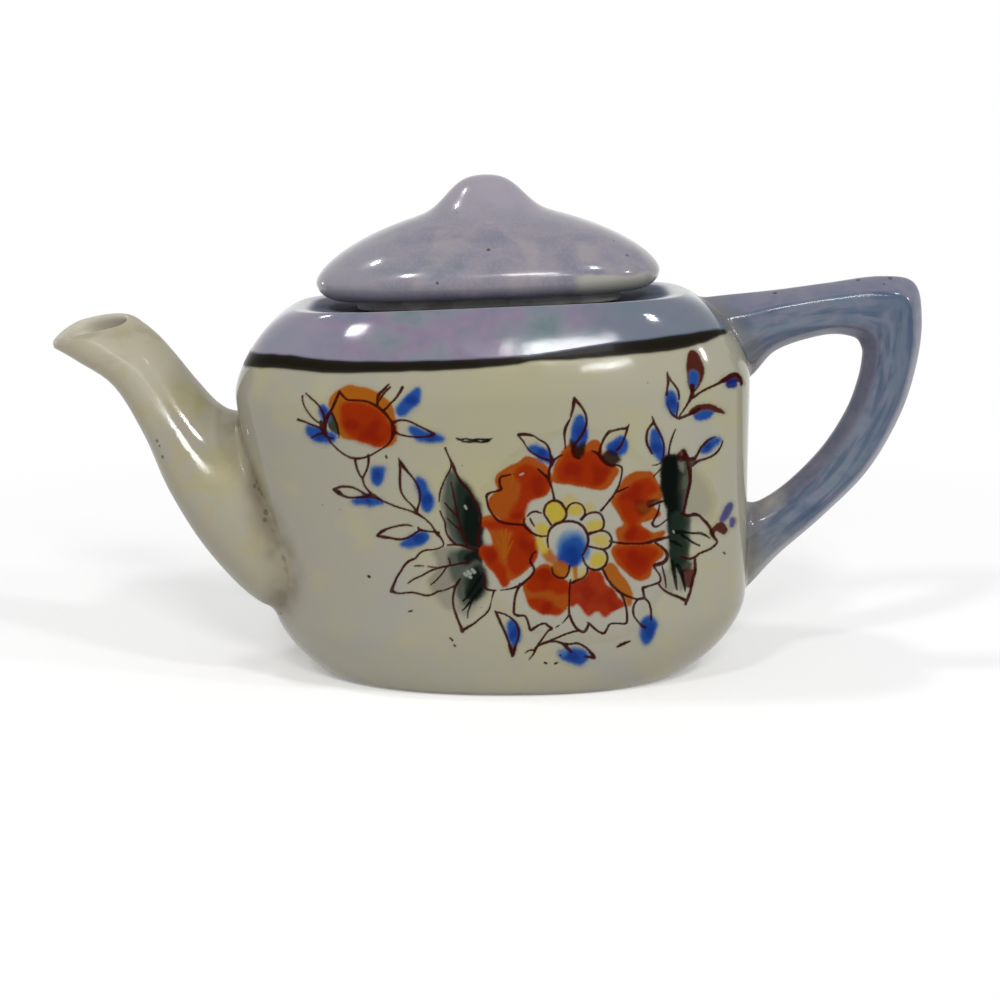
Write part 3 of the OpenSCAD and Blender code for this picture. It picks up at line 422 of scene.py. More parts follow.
# Washes of colour: pigment, softness of the edge in pixels, strength, and each shape's corners
WASHES = [
    ("white", 22, 0.5, [(497, 484), (520, 460), (556, 440), (600, 440), (640, 466), (668, 500), (668, 560),
        (650, 596), (618, 630), (560, 632), (515, 612), (480, 570), (480, 520)]),
    # Bud
    ("golden", 2.4, 0.985, [(328, 404), (334, 393), (346, 386), (365, 387), (380, 394), (391, 404),
        (397, 424), (396, 441), (383, 448), (360, 441), (341, 437), (334, 420)]),
    ("red", 7.4, 0.985, [(345, 402), (366, 403), (381, 411), (392, 428), (390, 441), (376, 447), (356, 440),
        (343, 430), (340, 414)]),
    ("green", 1.6, 0.9, [(330, 413), (336, 420), (340, 434), (334, 433), (329, 428), (328, 420)]),
    ("blue", 5, 0.95, [(412, 391), (418, 388), (421, 394), (417, 405), (408, 413), (399, 416), (396, 409),
        (402, 401)], [(410, 427), (419, 427.5), (430, 432), (443, 437), (443, 441), (432, 442.5),
        (419, 440), (411, 434)]),
    ("blue", 4.8, 0.9, [(320, 407), (324, 404.5), (329, 410), (329, 419), (323, 421), (320, 414)]),
    ("blue", 5, 0.95, [(307, 427), (315, 426), (328, 431), (335, 435), (334, 441), (326, 444), (315, 441),
        (307, 434)]),
    # Stem of the bud
    ("blue", 4.8, 0.95, [(351, 500), (360, 497), (372, 496), (383, 503), (376, 505), (362, 505),
        (355, 504)]),
    ("blue", 5, 0.95, [(372, 468), (378, 465.5), (384.5, 468), (384, 476), (379, 486), (374, 483),
        (371, 475)], [(416, 478), (420, 477), (428, 487), (434, 499), (433, 508), (427, 512), (421, 505),
        (418, 492), (415.5, 484)], [(401, 545), (406, 539), (416, 533), (425, 532), (429.5, 537),
        (422, 545), (411, 547.5)]),
    # Veined leaves left of the flower
    ("pale grey", 4, 0.85, [(451, 470), (459, 477), (468, 487), (477, 503), (481, 520), (479, 547),
        (464, 546), (451, 541), (445, 525), (441, 504), (442, 488), (446, 477)]),
    ("grey green", 6, 0.9, [(449, 473), (459, 477), (470, 488), (479, 504), (482, 522), (481, 548),
        (464, 548), (453, 540), (447, 524), (445, 504), (445, 486)]),
    ("green", 9, 0.9, [(459, 479), (472, 490), (481, 508), (483, 526), (482, 550), (468, 550), (458, 536),
        (454, 516), (455, 496)]),
    ("dark green", 7, 0.75, [(468, 495), (476, 503), (481, 518), (482, 536), (483, 560), (480, 576),
        (475, 566), (468, 548), (463, 530), (464, 510)]),
    ("pale grey", 6, 0.6, [(434, 552), (446, 547), (462, 546), (476, 550), (475, 562), (466, 574),
        (457, 585), (446, 591), (434, 592), (428, 582), (438, 566)]),
    ("grey green", 9, 0.85, [(448, 556), (460, 549), (476, 549), (482, 558), (476, 572), (464, 580),
        (454, 582), (450, 570)]),
    ("green", 6, 0.7, [(458, 552), (468, 548), (480, 550), (482, 562), (474, 570), (466, 566), (458, 562)]),
    ("dark green", 4, 0.8, [(465, 556), (474, 550), (482, 552), (482, 566), (472, 565), (466, 562)]),
    ("pale grey", 8, 0.4, [(436, 593), (450, 590), (457, 600), (451, 609), (440, 603)]),
    ("pale grey", 9, 0.6, [(456, 584), (466, 570), (478, 562), (488, 576), (486, 594), (476, 606),
        (466, 616), (459, 610), (454, 596)]),
    ("grey green", 6, 0.85, [(457, 582), (466, 571), (478, 563), (487, 574), (486, 592), (476, 602),
        (466, 606), (458, 598)]),
    ("green", 6, 0.75, [(466, 578), (472, 568), (482, 564), (487, 576), (484, 590), (474, 598),
        (466, 592)]),
    ("dark green", 5, 0.75, [(474, 572), (477, 568), (484, 580), (482, 596), (472, 600), (465, 592)]),
    # Petals, first their light orange and then the red that was laid over it
    ("orange", 2.2, 0.985, [(497, 490), (495, 480), (503, 469), (516, 463), (526, 456), (540, 460),
        (550, 470), (552, 482), (547, 495), (534, 499), (524, 508), (526, 520), (514, 525), (499, 518),
        (488, 508), (490, 497)]),
    ("red", 6.6, 0.985, [(515, 475), (520, 467), (532, 466), (545, 477), (550, 489), (541, 497), (528, 503),
        (524, 517), (513, 522), (510, 512), (518, 500), (521, 487)]),
    ("orange", 2.4, 0.985, [(480, 519), (490, 515), (504, 520), (520, 520), (531, 530), (538, 543),
        (536, 560), (524, 573), (511, 581), (503, 587), (494, 573), (484, 563), (480, 548), (492, 546),
        (488, 530)]),
    ("red", 6.4, 0.985, [(483, 522), (500, 520), (520, 522), (530, 531), (516, 532), (498, 529),
        (487, 528)], [(516, 530), (527, 529), (536, 542), (537, 554), (528, 567), (515, 575), (508, 567),
        (509, 550), (511, 538)], [(482, 547), (494, 546), (500, 558), (506, 571), (508, 584), (501, 584),
        (495, 572), (486, 563), (481, 555)]),
    ("orange", 2.2, 0.985, [(523, 588), (529, 576), (541, 564), (552, 566), (563, 577), (570, 585),
        (569, 604), (562, 613), (546, 614), (531, 607)]),
    ("red", 6.2, 0.985, [(527, 586), (534, 573), (543, 567), (552, 570), (560, 578), (568, 582), (568, 592),
        (558, 594), (546, 590), (533, 593)], [(528, 600), (540, 598), (552, 604), (562, 610), (552, 615),
        (538, 611)]),
    ("red", 3.2, 0.985, [(571, 583), (582, 579), (590, 570), (600, 572), (606, 583), (617, 594), (625, 605),
        (613, 611), (605, 617), (597, 612), (588, 616), (578, 604), (571, 606), (569, 594)]),
    ("golden", 2.4, 0.97, [(605, 566), (612, 563), (623, 576), (631, 588), (633, 598), (629, 606),
        (622, 595), (611, 583), (604, 573)]),
    ("orange", 2.2, 0.985, [(612, 548), (620, 543), (640, 543), (656, 544), (664, 554), (653, 566),
        (650, 577), (637, 580), (622, 569), (613, 557)]),
    ("red", 6.4, 0.985, [(617, 549), (632, 545), (650, 546), (658, 553), (652, 564), (647, 573), (636, 577),
        (624, 567), (618, 558)]),
    ("orange", 2.4, 0.985, [(611, 501), (617, 491), (624, 478), (638, 471), (652, 473), (661, 489),
        (662, 498), (652, 504), (661, 514), (650, 521), (641, 524), (652, 532), (665, 531), (660, 539),
        (640, 544), (620, 543), (616, 531), (623, 524), (616, 511)]),
    ("red", 6.6, 0.985, [(617, 501), (626, 490), (640, 479), (651, 480), (657, 490), (647, 499), (638, 507),
        (644, 515), (636, 524), (647, 531), (650, 538), (634, 542), (624, 536), (627, 525), (621, 513)]),
    ("brown", 5, 0.4, [(635, 500), (645, 502), (650, 510), (643, 516), (636, 510)]),
    ("ink", 1.6, 0.75, [(648, 500.5), (658, 499), (663, 502), (654, 506), (648, 507)]),
    ("orange", 2.4, 0.985, [(553, 480), (554, 466), (561, 453), (570, 444), (580, 447), (592, 440),
        (600, 443), (605, 459), (618, 469), (613, 482), (602, 491), (588, 488), (575, 486), (561, 484)]),
    ("red", 6.4, 0.985, [(556, 472), (562, 459), (570, 451), (578, 456), (591, 450), (600, 457), (610, 468),
        (606, 480), (596, 487), (578, 484), (562, 482)]),
    # Centre
    ("white", 4, 0.85, [(549, 545), (547, 534), (552, 526), (560, 521), (572, 520), (583, 526), (588, 538),
        (586, 552), (576, 560), (560, 560)]),
    ("pale blue", 9, 0.9, [(556, 548), (560, 537), (568, 531), (579, 531), (586, 538), (588, 550),
        (582, 561), (572, 567), (561, 565), (556, 557)]),
    ("blue", 9, 0.97, [(558, 552), (563, 541), (573, 536), (583, 540), (587, 550), (582, 561), (572, 568),
        (562, 566), (557, 560)]),
    ("dark green", 4, 0.6, [(559, 560), (563, 563), (570, 566), (566, 569), (560, 566)]),
    ("yellow", 4.5, 0.95, [(545, 511), (548, 503), (555, 501), (563, 505), (566, 513), (561, 522),
        (551, 522)]),
    ("yellow", 5, 0.85, [(566, 510), (571, 504), (579, 503), (584, 508), (580, 514), (570, 515)]),
    ("yellow", 6, 0.8, [(586, 524), (594, 520), (602, 521), (602, 529), (592, 532), (587, 530)]),
    ("yellow", 6, 0.7, [(592, 538), (600, 534), (608, 538), (606, 546), (596, 546)]),
    ("yellow", 5, 0.9, [(592, 556), (598, 552), (606, 556), (605, 564), (597, 567), (590, 564)]),
    ("pale blue", 4, 0.5, [(582, 553), (588, 551), (589, 558), (584, 561)]),
    ("pale yellow", 3, 0.7, [(570, 569), (586, 568), (585, 576), (574, 581), (570, 578)]),
    ("golden", 2, 0.8, [(573, 568), (577, 567), (577.5, 578), (574, 579)]),
    ("golden", 3, 0.95, [(552, 565), (560, 561), (569, 566), (568, 576), (557, 577), (551, 572)]),
    ("golden", 5, 0.9, [(542, 553), (549, 549), (557, 557), (554, 564), (546, 561)]),
    ("yellow", 5, 0.8, [(536, 538), (542, 536), (546, 544), (547, 552), (541, 553), (537, 547)]),
    ("yellow", 5, 0.85, [(536, 526), (543, 522), (550, 528), (546, 535), (538, 533)]),
    ("pale yellow", 5, 0.8, [(563, 499), (572, 494), (578, 500), (572, 507), (564, 506)], [(582, 506),
        (590, 502), (595, 508), (588, 513)]),
    # Leaves over the flower
    ("blue", 5.2, 0.95, [(529, 447), (536, 444), (546, 449), (553, 459), (550, 464.5), (540, 459),
        (531, 452)]),
    ("blue", 4, 0.95, [(575, 418), (581, 415), (586, 424), (588, 436), (584, 445), (577, 447), (571, 440),
        (572, 428)]),
    ("brown", 4, 0.95, [(570, 440), (578, 445), (585, 442), (585, 450), (579, 458), (573, 455)]),
    ("blue", 4, 0.95, [(607, 445), (614, 439), (622, 436), (628, 443), (626, 452), (617, 456), (608, 451)]),
    ("brown", 4, 0.95, [(602, 456), (608, 450), (617, 452), (621, 460), (613, 467), (605, 463)]),
    # Leaves right of the flower
    ("blue", 5.2, 0.95, [(651, 432), (656, 429), (662, 439), (665, 452), (662, 462), (656, 458),
        (650, 447)]),
    ("green", 3.5, 0.97, [(663, 460), (669, 454), (680, 455), (688, 466), (690, 482), (687, 500),
        (684, 515), (679, 530), (678, 545), (676, 560), (672, 562), (669, 540), (666, 512), (661, 486),
        (660, 470)]),
    ("dark green", 5, 0.97, [(663, 461), (670, 455), (679, 458), (685, 472), (686, 490), (683, 508),
        (677, 526), (675, 548), (674, 564), (670, 545), (667, 515), (662, 488), (661, 472)]),
    # Painted highlight: a small grey glint on the dark leaf
    ("pale grey", 4, 0.8, [(679, 460), (683, 460), (685, 468), (683, 473), (679, 468)]),
    ("grey green", 3, 0.6, [(683, 476), (687, 477), (687, 486), (683, 488)]),
    ("ink", 1.8, 0.85, [(676, 456), (684, 449), (688, 457), (681, 462)]),
    ("pale grey", 14, 0.3, [(684, 470), (702, 478), (712, 500), (706, 516), (684, 514)]),
    ("grey green", 4.5, 0.85, [(674, 516), (684, 514), (690, 518), (690.5, 530), (690, 545), (688, 557),
        (682, 562), (673, 560), (671, 540)]),
    ("green", 9, 0.9, [(670, 516), (682, 512), (688, 522), (686, 534), (688, 548), (686, 560), (680, 570),
        (671, 570), (669, 540)]),
    ("green", 4, 0.85, [(673, 558), (686, 560), (692, 564), (690, 570), (682, 572), (674, 570)]),
    ("pale grey", 4, 0.7, [(676, 570), (681, 570), (683, 588), (679, 590)]),
    ("red brown", 4, 0.9, [(682, 570), (694, 569), (694, 580), (690, 588), (684, 584)]),
    ("pale grey", 3, 0.35, [(660, 572), (670, 570), (676, 588), (668, 592), (661, 584)]),
    ("blue", 5, 0.95, [(700, 452), (706, 443), (714, 438), (720.5, 440), (716, 448), (707, 453)]),
    ("red brown", 1.6, 0.95, [(709, 532), (715, 525), (722, 522), (728, 529), (724, 534.5), (716, 531),
        (713, 538)]),
    ("violet blue", 3, 0.85, [(720, 520), (722, 511), (729, 503), (732.5, 505), (729, 516), (723, 522)]),
    ("violet blue", 3, 0.8, [(729, 527), (731, 518), (735, 519), (734, 527)]),
    # Sprig at the upper right
    ("red brown", 1.8, 0.97, [(690, 350), (696, 352), (703, 363), (704, 376), (698, 388), (692, 392.5),
        (687.5, 384), (687, 360)]),
    ("blue", 3, 0.95, [(689.5, 374), (694, 371), (697.5, 377), (695, 387), (690, 386)]),
    ("blue", 5, 0.95, [(666, 393), (671, 390), (677, 396), (678, 408), (675, 416.5), (669, 411),
        (666, 402)]),
    ("red brown", 1.5, 0.95, [(719, 381), (728, 375), (738, 373.5), (743, 384), (737, 382), (728, 383)]),
    ("deep blue", 3, 0.95, [(726, 384), (731, 379), (737, 380), (736, 387), (729, 388)]),
    ("red brown", 1.6, 0.97, [(689, 411), (697, 405), (708, 403.5), (718, 407), (725, 413.5), (712, 412.5),
        (700, 413.5), (692, 415)]),
    ("blue", 3, 0.95, [(694, 416), (702, 412), (713, 412.5), (709, 417.5), (699, 421)]),
    # Leaves under the flower
    ("red brown", 1.4, 0.9, [(508, 645), (517, 645), (512.7, 656)]),
    ("blue", 5, 0.95, [(507, 623), (513, 620), (521, 632), (520, 642), (514, 646), (508, 637)]),
    ("blue", 5.2, 0.95, [(560, 656), (571, 649), (582, 649), (589, 657), (583, 664), (570, 663)],
        [(645, 617), (651, 615), (657, 625), (653, 637), (646, 645), (640, 638), (641, 627)]),
    ("blue", 1.6, 0.3, [(558, 650), (566, 648), (566, 654), (559, 655)]),
]
# Deepest spots of the washes: middle and reach
CORES = {
    "deep red": [
        (372, 432, 15), (352, 424, 9), (538, 484, 12), (518, 516, 8), (526, 546, 12), (490, 556, 9),
        (546, 577, 12), (546, 608, 9), (586, 592, 15), (611, 601, 11), (636, 560, 14), (634, 495, 13),
        (632, 533, 10), (574, 469, 12), (600, 472, 11),
    ],
    "deep blue": [
        (412, 401, 7), (431, 437, 8), (322, 437, 6), (378, 473, 6), (368, 500, 6), (427, 498, 8),
        (416, 538, 7), (541, 452, 7), (581, 432, 9), (616, 447, 7), (658, 448, 8), (709, 446, 6),
        (673, 402, 7), (514, 633, 7), (574, 656, 8), (649, 630, 9), (572, 555, 12), (324, 411, 4),
    ],
}


# Shared shapes

def turned(points, angle):
    """Points turned about the Y axis through the middle of the foot."""
    points = np.asarray(points, float)
    x, y, z = points[..., 0], points[..., 1], points[..., 2]
    cos, sin = math.cos(angle), math.sin(angle)
    return np.stack([x * cos - z * sin, y, x * sin + z * cos], -1)


def to_frame(points):
    """Points of the upright pot in millimetres, leaned and turned into the frame's metres."""
    return turned(points, LEAN) * MM


def to_upright(points):
    """Level millimetres back to the upright pot's."""
    return turned(points, -LEAN)


def unit(vectors):
    return vectors / np.maximum(np.linalg.norm(vectors, axis=-1, keepdims=True), 1e-12)


def mix(low, high, share):
    return low + (high - low) * share


def smooth(low, high, value):
    """0 below low, 1 above high and a soft S between them."""
    share = np.clip((value - low) / (high - low), 0, 1)
    return share * share * (3 - 2 * share)


def along(keys, t):
    """A smooth line through the keys, at positions t counted in keys."""
    t = np.clip(t, 0, len(keys) - 1)
    i = np.minimum(t.astype(int), len(keys) - 2)
    u = (t - i)[..., None]
    last = len(keys) - 1
    a, b, c, d = keys[np.maximum(i - 1, 0)], keys[i], keys[i + 1], keys[np.minimum(i + 2, last)]
    return b + ((c - a) * u + (2 * a - 5 * b + 4 * c - d) * u ** 2 + (3 * b - 3 * c + d - a) * u ** 3) / 2


def bend(start, corner, end, share):
    """A short curve from start to end that heads for the corner."""
    return (1 - share) ** 2 * start + 2 * share * (1 - share) * corner + share ** 2 * end


def arch(angle, square):
    """How far out and up a quarter of a rounded arch lies: 2 is a circle, and less is flatter."""
    return np.cos(angle) ** (2 / square), np.sin(angle) ** (2 / square)


def oval(turn, a, b, square):
    """Points round a boxy oval: square 2 is an ellipse, and more is boxier."""
    cos, sin = np.cos(turn), np.sin(turn)
    grow = (np.abs(cos) ** square + np.abs(sin) ** square) ** (-1 / square)
    return a * cos * grow, b * sin * grow


def ring(turn, a, b, square, z, shift=0.0):
    x, y = oval(turn, a, b, square)
    return np.stack([x + shift, y, z + 0 * x], -1)


def pot_shift(z):
    return FOOT_SHIFT * np.maximum(0, 1 - z / SHOULDER_Z)


def sharp_outline(z):
    """Half length, half width and squareness of the pot's wall at height z."""
    foot = (1 - np.clip((FOOT_RISE - z) / (FOOT_RISE + FOOT_GROUND), 0, 1) ** FOOT_BEND) ** (1 / FOOT_BEND)
    up = np.clip((z - FOOT_RISE) / (SHOULDER_Z - FOOT_RISE), 0, 1)
    rise = np.clip((z - SHOULDER_Z) / (BODY_H - SHOULDER_Z), 0, 1)
    out = (1 - rise ** SHOULDER_BEND) ** (1 / SHOULDER_BEND)
    a = mix(RIM_A, BELLY_A, out) - END_TAPER * (1 - up) - FOOT_IN_A * (1 - foot)
    flat = (1 - rise ** FRONT_BEND) ** (1 / FRONT_BEND)
    b = mix(RIM_B, BELLY_B, flat) - SIDE_TAPER * (1 - up) - FOOT_IN_B * (1 - foot)
    square = mix(FOOT_SQUARE, BELLY_SQUARE, (foot + up) / 2) + (RIM_SQUARE - BELLY_SQUARE) * (1 - out)
    return a, b, square


def outline(z):
    """The same with the changes of slope at the foot and the shoulder softened."""
    z = np.asarray(z, float)
    near = np.maximum(1 - np.abs(z - FOOT_RISE) / SOFT_BEND, 1 - np.abs(z - SHOULDER_Z) / SOFT_BEND)
    spread = SOFT_BEND / 3 * smooth(0, 1, near)
    total = [0.0, 0.0, 0.0]
    for step, weight in ((-2, 1), (-1, 4), (0, 6), (1, 4), (2, 1)):
        for i, value in enumerate(sharp_outline(z + step * spread / 2)):
            total[i] = total[i] + value * weight / 16
    return total


def wobble(turn, z):
    """Slight unevenness of a cast and hand-finished wall, as a share of its size."""
    return 1 + 0.0016 * np.sin(3 * turn + z / 9 + 1) + 0.0013 * np.sin(5 * turn - z / 6.5) * np.sin(z / 11)


def wall_point(turn, z):
    a, b, square = outline(z)
    grow = wobble(turn, z)
    return ring(turn, a * grow, b * grow, square, z, pot_shift(z))


def outside(points):
    """About how far points lie outside the pot's wall, and below 0 inside it."""
    z = points[..., 2]
    a, b, square = outline(np.minimum(z, BODY_H))
    x, y = (points[..., 0] - pot_shift(z)) / a, points[..., 1] / b
    far = (np.abs(x) ** square + np.abs(y) ** square) ** (1 / square)
    wall = (far / wobble(np.arctan2(y, x), z) - 1) * np.minimum(a, b)
    return np.maximum(wall, z - BODY_H)


def wall_normal(points):
    """Unit normals of the pot's wall near points, and the slope that turns outside() into millimetres."""
    step = 0.02
    ends = [(outside(points + step * axis), outside(points - step * axis)) for axis in np.eye(3)]
    slope = np.stack([(far - near) / (2 * step) for far, near in ends], -1)
    size = np.linalg.norm(slope, axis=-1, keepdims=True)
    return slope / np.maximum(size, 1e-9), size[..., 0]


def onto_wall(points):
    for _ in range(4):
        normal, slope = wall_normal(points)
        points = points - normal * (outside(points) / np.maximum(slope, 0.05))[..., None]
    return points


# Meshes

# Columns round each piece
POT_COLUMNS, LIMB_COLUMNS, LID_COLUMNS, BAND_COLUMNS = 360, 144, 240, 1200
# Rings of the pot's wall from the foot up, of the gallery and of the inside from the top down
FOOT_RINGS, WALL_RINGS, SHOULDER_RINGS, DISH_RINGS, INNER_RINGS = 34, 40, 34, 19, (20, 16, 16)
# Rings of the lid's dome and rolled edge, and of their hollows
DOME_RINGS, EDGE_RINGS, HOLLOW_EDGE_RINGS, HOLLOW_RINGS, KNOB_RINGS = 46, 16, 6, 20, 61
SPOUT_RINGS, LIP_RINGS, HANDLE_RINGS = 110, 15, 260
# Steps of a rounded edge and of a fillet, tries for where a limb leaves the pot, and halvings after them
EDGE_STEPS, FILLET_STEPS = 4, 7
JOINT_TRIES = 120
HALVINGS = 24
# Distance given to points that no joint and no line is near
FAR_MM = 20.0


def add_object(name, data):
    made = bpy.data.objects.new(name, data)
    bpy.context.scene.collection.objects.link(made)
    return made


def make_mesh(name, points, faces, shares=None):
    """A smooth-shaded mesh from upright points, with a value for each point under each name in shares."""
    mesh = bpy.data.meshes.new(name)
    mesh.from_pydata(to_frame(points).tolist(), [], faces)
    mesh.polygons.foreach_set("use_smooth", [True] * len(mesh.polygons))
    for key, values in (shares or {}).items():
        attribute = mesh.attributes.new(key, "FLOAT", "POINT")
        attribute.data.foreach_set("value", np.asarray(values, np.float32).ravel())
    mesh.validate()
    mesh.update()
    return add_object(name, mesh)


def tube_faces(rows, columns, looped=False):
    """Faces of rows of points, each a closed ring of columns."""
    i = np.arange(rows if looped else rows - 1)[:, None]
    j = np.arange(columns)[None, :]
    low, high, after = i * columns, (i + 1) % rows * columns, (j + 1) % columns
    quads = np.stack(np.broadcast_arrays(low + j, low + after, high + after, high + j), -1)
    return quads.reshape(-1, 4).tolist()


def make_skin(name, rows, looped=False, shares=None):
    """A closed skin over rings of points, with a point in the middle of each end unless it is looped."""
    count, columns = rows.shape[:2]
    points = rows.reshape(-1, 3)
    faces = tube_faces(count, columns, looped)
    shares = {key: np.asarray(values, float).ravel() for key, values in (shares or {}).items()}
    if not looped:
        points = np.concatenate([points, rows[:1].mean(1), rows[-1:].mean(1)])
        first, last = count * columns, count * columns + 1
        top = (count - 1) * columns
        for j in range(columns):
            after = (j + 1) % columns
            faces.append([first, after, j])
            faces.append([last, top + j, top + after])
        for key, values in shares.items():
            shares[key] = np.concatenate([values, [values[0], values[-1]]])
    piece = make_mesh(name, points, faces, shares)
    shape = bmesh.new()
    shape.from_mesh(piece.data)
    bmesh.ops.recalc_face_normals(shape, faces=shape.faces)
    shape.to_mesh(piece.data)
    shape.free()
    return piece


def around(columns):
    return np.linspace(0, FULL_TURN, columns, endpoint=False)


def quarter(steps):
    """Angles of a quarter turn, for the rings of a rounded stretch."""
    return np.linspace(0, math.pi / 2, steps + 1)


# Pot

def table_height(turn):
    """Height on the upright pot at which each column of the wall meets the table."""
    z = np.zeros_like(turn)
    for _ in range(12):
        z = -wall_point(turn, z)[:, 0] * math.tan(LEAN)
    return z


def rounded_foot(rows):
    """The wall's lowest stretch, drawn in by the rounded edge that it stands on."""
    level = to_frame(rows)[..., 2] / MM
    drop = np.clip(1 - level / FOOT_EDGE_R, 0, 1)
    pull = FOOT_EDGE_R * (1 - np.sqrt(1 - drop ** 2))
    return rows - unit(rows * (1, 1, 0)) * pull[..., None]


def pot_outer_rows(turn):
    base = table_height(turn)
    foot_z = FOOT_RISE - (FOOT_RISE - base)[None, :] * np.linspace(1, 0, FOOT_RINGS)[:, None] ** 1.3
    wall_z = np.repeat(np.linspace(FOOT_RISE, SHOULDER_Z, WALL_RINGS)[1:-1, None], len(turn), 1)
    rise = arch(quarter(SHOULDER_RINGS), SHOULDER_BEND)[1]
    shoulder_z = np.repeat((SHOULDER_Z + (BODY_H - SHOULDER_Z) * rise)[:, None], len(turn), 1)
    heights = np.concatenate([foot_z, wall_z, shoulder_z])
    return rounded_foot(wall_point(turn[None, :], heights))


def gallery_rows(turn):
    """The dished gallery from the rim's crest down to the seat, the seat and the sides of the mouth."""
    rows = []
    for share in np.linspace(0, 1, DISH_RINGS)[1:]:
        a, b = mix(RIM_A, MOUTH_A + SEAT_W, share), mix(RIM_B, MOUTH_B + SEAT_W, share)
        square = mix(RIM_SQUARE, MOUTH_SQUARE, share)
        fall = (1 - math.cos(math.pi * share)) / 2
        rows.append(ring(turn, a, b, square, mix(BODY_H, SEAT_Z, fall)))
    upper = [(1 - math.sin(angle), math.cos(angle) - 1, SEAT_Z) for angle in quarter(EDGE_STEPS)]
    lower = [(1 - math.cos(angle), 1 - math.sin(angle), SEAT_Z - LEDGE_T) for angle in quarter(EDGE_STEPS)]
    for out, up, z in upper + lower:
        out, up = EDGE_R * out, EDGE_R * up
        rows.append(ring(turn, MOUTH_A + out, MOUTH_B + out, MOUTH_SQUARE, z + up))
    return np.array(rows)


def pot_inner_rows(turn):
    """The inside of the cast wall, from under the ledge down to the floor."""
    rows = []
    shoulder_rings, wall_rings, foot_rings = INNER_RINGS
    for angle in quarter(shoulder_rings)[::-1]:
        out, up = arch(angle, SHOULDER_BEND)
        z = SHOULDER_Z + (BODY_H - SHOULDER_Z - WALL) * up
        a, b = mix(RIM_A, BELLY_A - WALL, out), mix(RIM_B, BELLY_B - WALL, out)
        rows.append(ring(turn, a, b, mix(RIM_SQUARE, BELLY_SQUARE, out), z))
    for z in np.linspace(SHOULDER_Z, FOOT_RISE, wall_rings)[1:-1]:
        a, b, square = outline(z)
        rows.append(ring(turn, a - WALL, b - WALL, square, z, pot_shift(z)))
    floor_a, floor_b = BELLY_A - END_TAPER - FOOT_IN_A, BELLY_B - SIDE_TAPER - FOOT_IN_B
    for angle in quarter(foot_rings)[::-1]:
        down, out = arch(angle, FOOT_BEND)
        a, b = floor_a + (FOOT_IN_A - WALL) * out, floor_b + (FOOT_IN_B - WALL) * out
        z = FOOT_RISE - (FOOT_RISE - FLOOR_Z) * down
        rows.append(ring(turn, a, b, mix(FOOT_SQUARE, BELLY_SQUARE, out / 2), z, pot_shift(z)))
    for share in (0.75, 0.5, 0.25):
        rows.append(ring(turn, floor_a * share, floor_b * share, FOOT_SQUARE, FLOOR_Z, pot_shift(FLOOR_Z)))
    return np.array(rows)


def foot_rows(lowest):
    """The underside from its middle outward: the hollow inside the foot ring and the ring itself."""
    level = to_frame(lowest) / MM
    spoke = level - level.mean(0)
    length = np.linalg.norm(spoke[:, :2], axis=1, keepdims=True)
    rows = []
    for reach, inset, height in FOOT_RING:
        row = level.mean(0) + spoke * (1 - inset / length) * reach
        row[:, 2] = height
        rows.append(to_upright(row))
    return np.array(rows)


def make_pot(joint):
    turn = around(POT_COLUMNS)
    outer = pot_outer_rows(turn)
    under, gallery, inner = foot_rows(outer[0]), gallery_rows(turn), pot_inner_rows(turn)
    rows = np.concatenate([under, outer, gallery, inner])
    wall = slice(len(under), len(under) + len(outer))
    dish = slice(wall.stop, wall.stop + len(gallery))
    shares = {name: np.zeros(rows.shape[:2]) for name in ("foot", "inside", "gallery", "joint_mm")}
    shares["foot"][:wall.start] = 1
    shares["foot"][wall] = 1 - smooth(0.1, 0.9, to_frame(outer)[..., 2] / MM)
    shares["gallery"][dish] = smooth(0.02, 0.3, BODY_H - gallery[..., 2])
    shares["inside"][dish.stop:] = 1
    shares["joint_mm"][:] = FAR_MM
    shares["joint_mm"][wall] = distance_to(outer, joint)
    shares["rim"] = 1 - smooth(0.0, 0.07, BODY_H - rows[..., 2])
    shares["above_mm"] = above_band(rows)
    shares["above_mm"][dish.stop:] = -FAR_MM
    return make_skin("pot_body_glazed", rows, shares=shares)


# Spout and handle, each with a small fillet of glaze where it meets the pot

def first_outside(path, t, inside_first=True):
    """Where each column of path leaves the pot, or enters it when inside_first is off."""
    far = outside(path(t[:, None]))
    if not inside_first:
        t, far = t[::-1], far[::-1]
    k = len(t) - 1 - np.argmax((far < 0)[::-1], axis=0)
    k = np.minimum(k, len(t) - 2)
    low, high = t[k], t[k + 1]
    for _ in range(HALVINGS):
        middle = (low + high) / 2
        inside = outside(path(middle[None, :]))[0] < 0
        low, high = np.where(inside, middle, low), np.where(inside, high, middle)
    return (low + high) / 2


def fillet(path, t, radius, away):
    """Rings of a fillet from the pot to the piece, where it ends on the piece, and the joint's line."""
    joint = path(t[None, :])[0]
    speed = np.linalg.norm(path(t[None, :] + 0.01 * away)[0] - joint, axis=1) / 0.01
    t_clear = t + away * radius / speed
    on_piece = path(t_clear[None, :])[0]
    normal, _ = wall_normal(joint)
    round_joint = unit(np.roll(joint, -1, 0) - np.roll(joint, 1, 0))
    outward = unit(np.cross(round_joint, normal))
    outward *= np.sign(((joint - joint.mean(0)) * outward).sum(1))[:, None]
    on_pot = onto_wall(joint + outward * radius)
    on_pot = on_pot - wall_normal(on_pot)[0] * 0.02
    share = np.linspace(0, 1, FILLET_STEPS + 1)[:-1, None, None]
    return bend(on_pot, joint, on_piece, share), t_clear, joint


def limb_edges(keys, t, reach, low_z, height):
    """The keys at t, and both edges of a limb in the pot's middle plane, from the keys' shares out and up."""
    s = along(keys, t)
    edges = [
        np.stack([BELLY_A + s[..., i] * reach, 0 * s[..., 0], low_z + s[..., i + 1] * height], -1)
        for i in (0, 2)
    ]
    return s, *edges


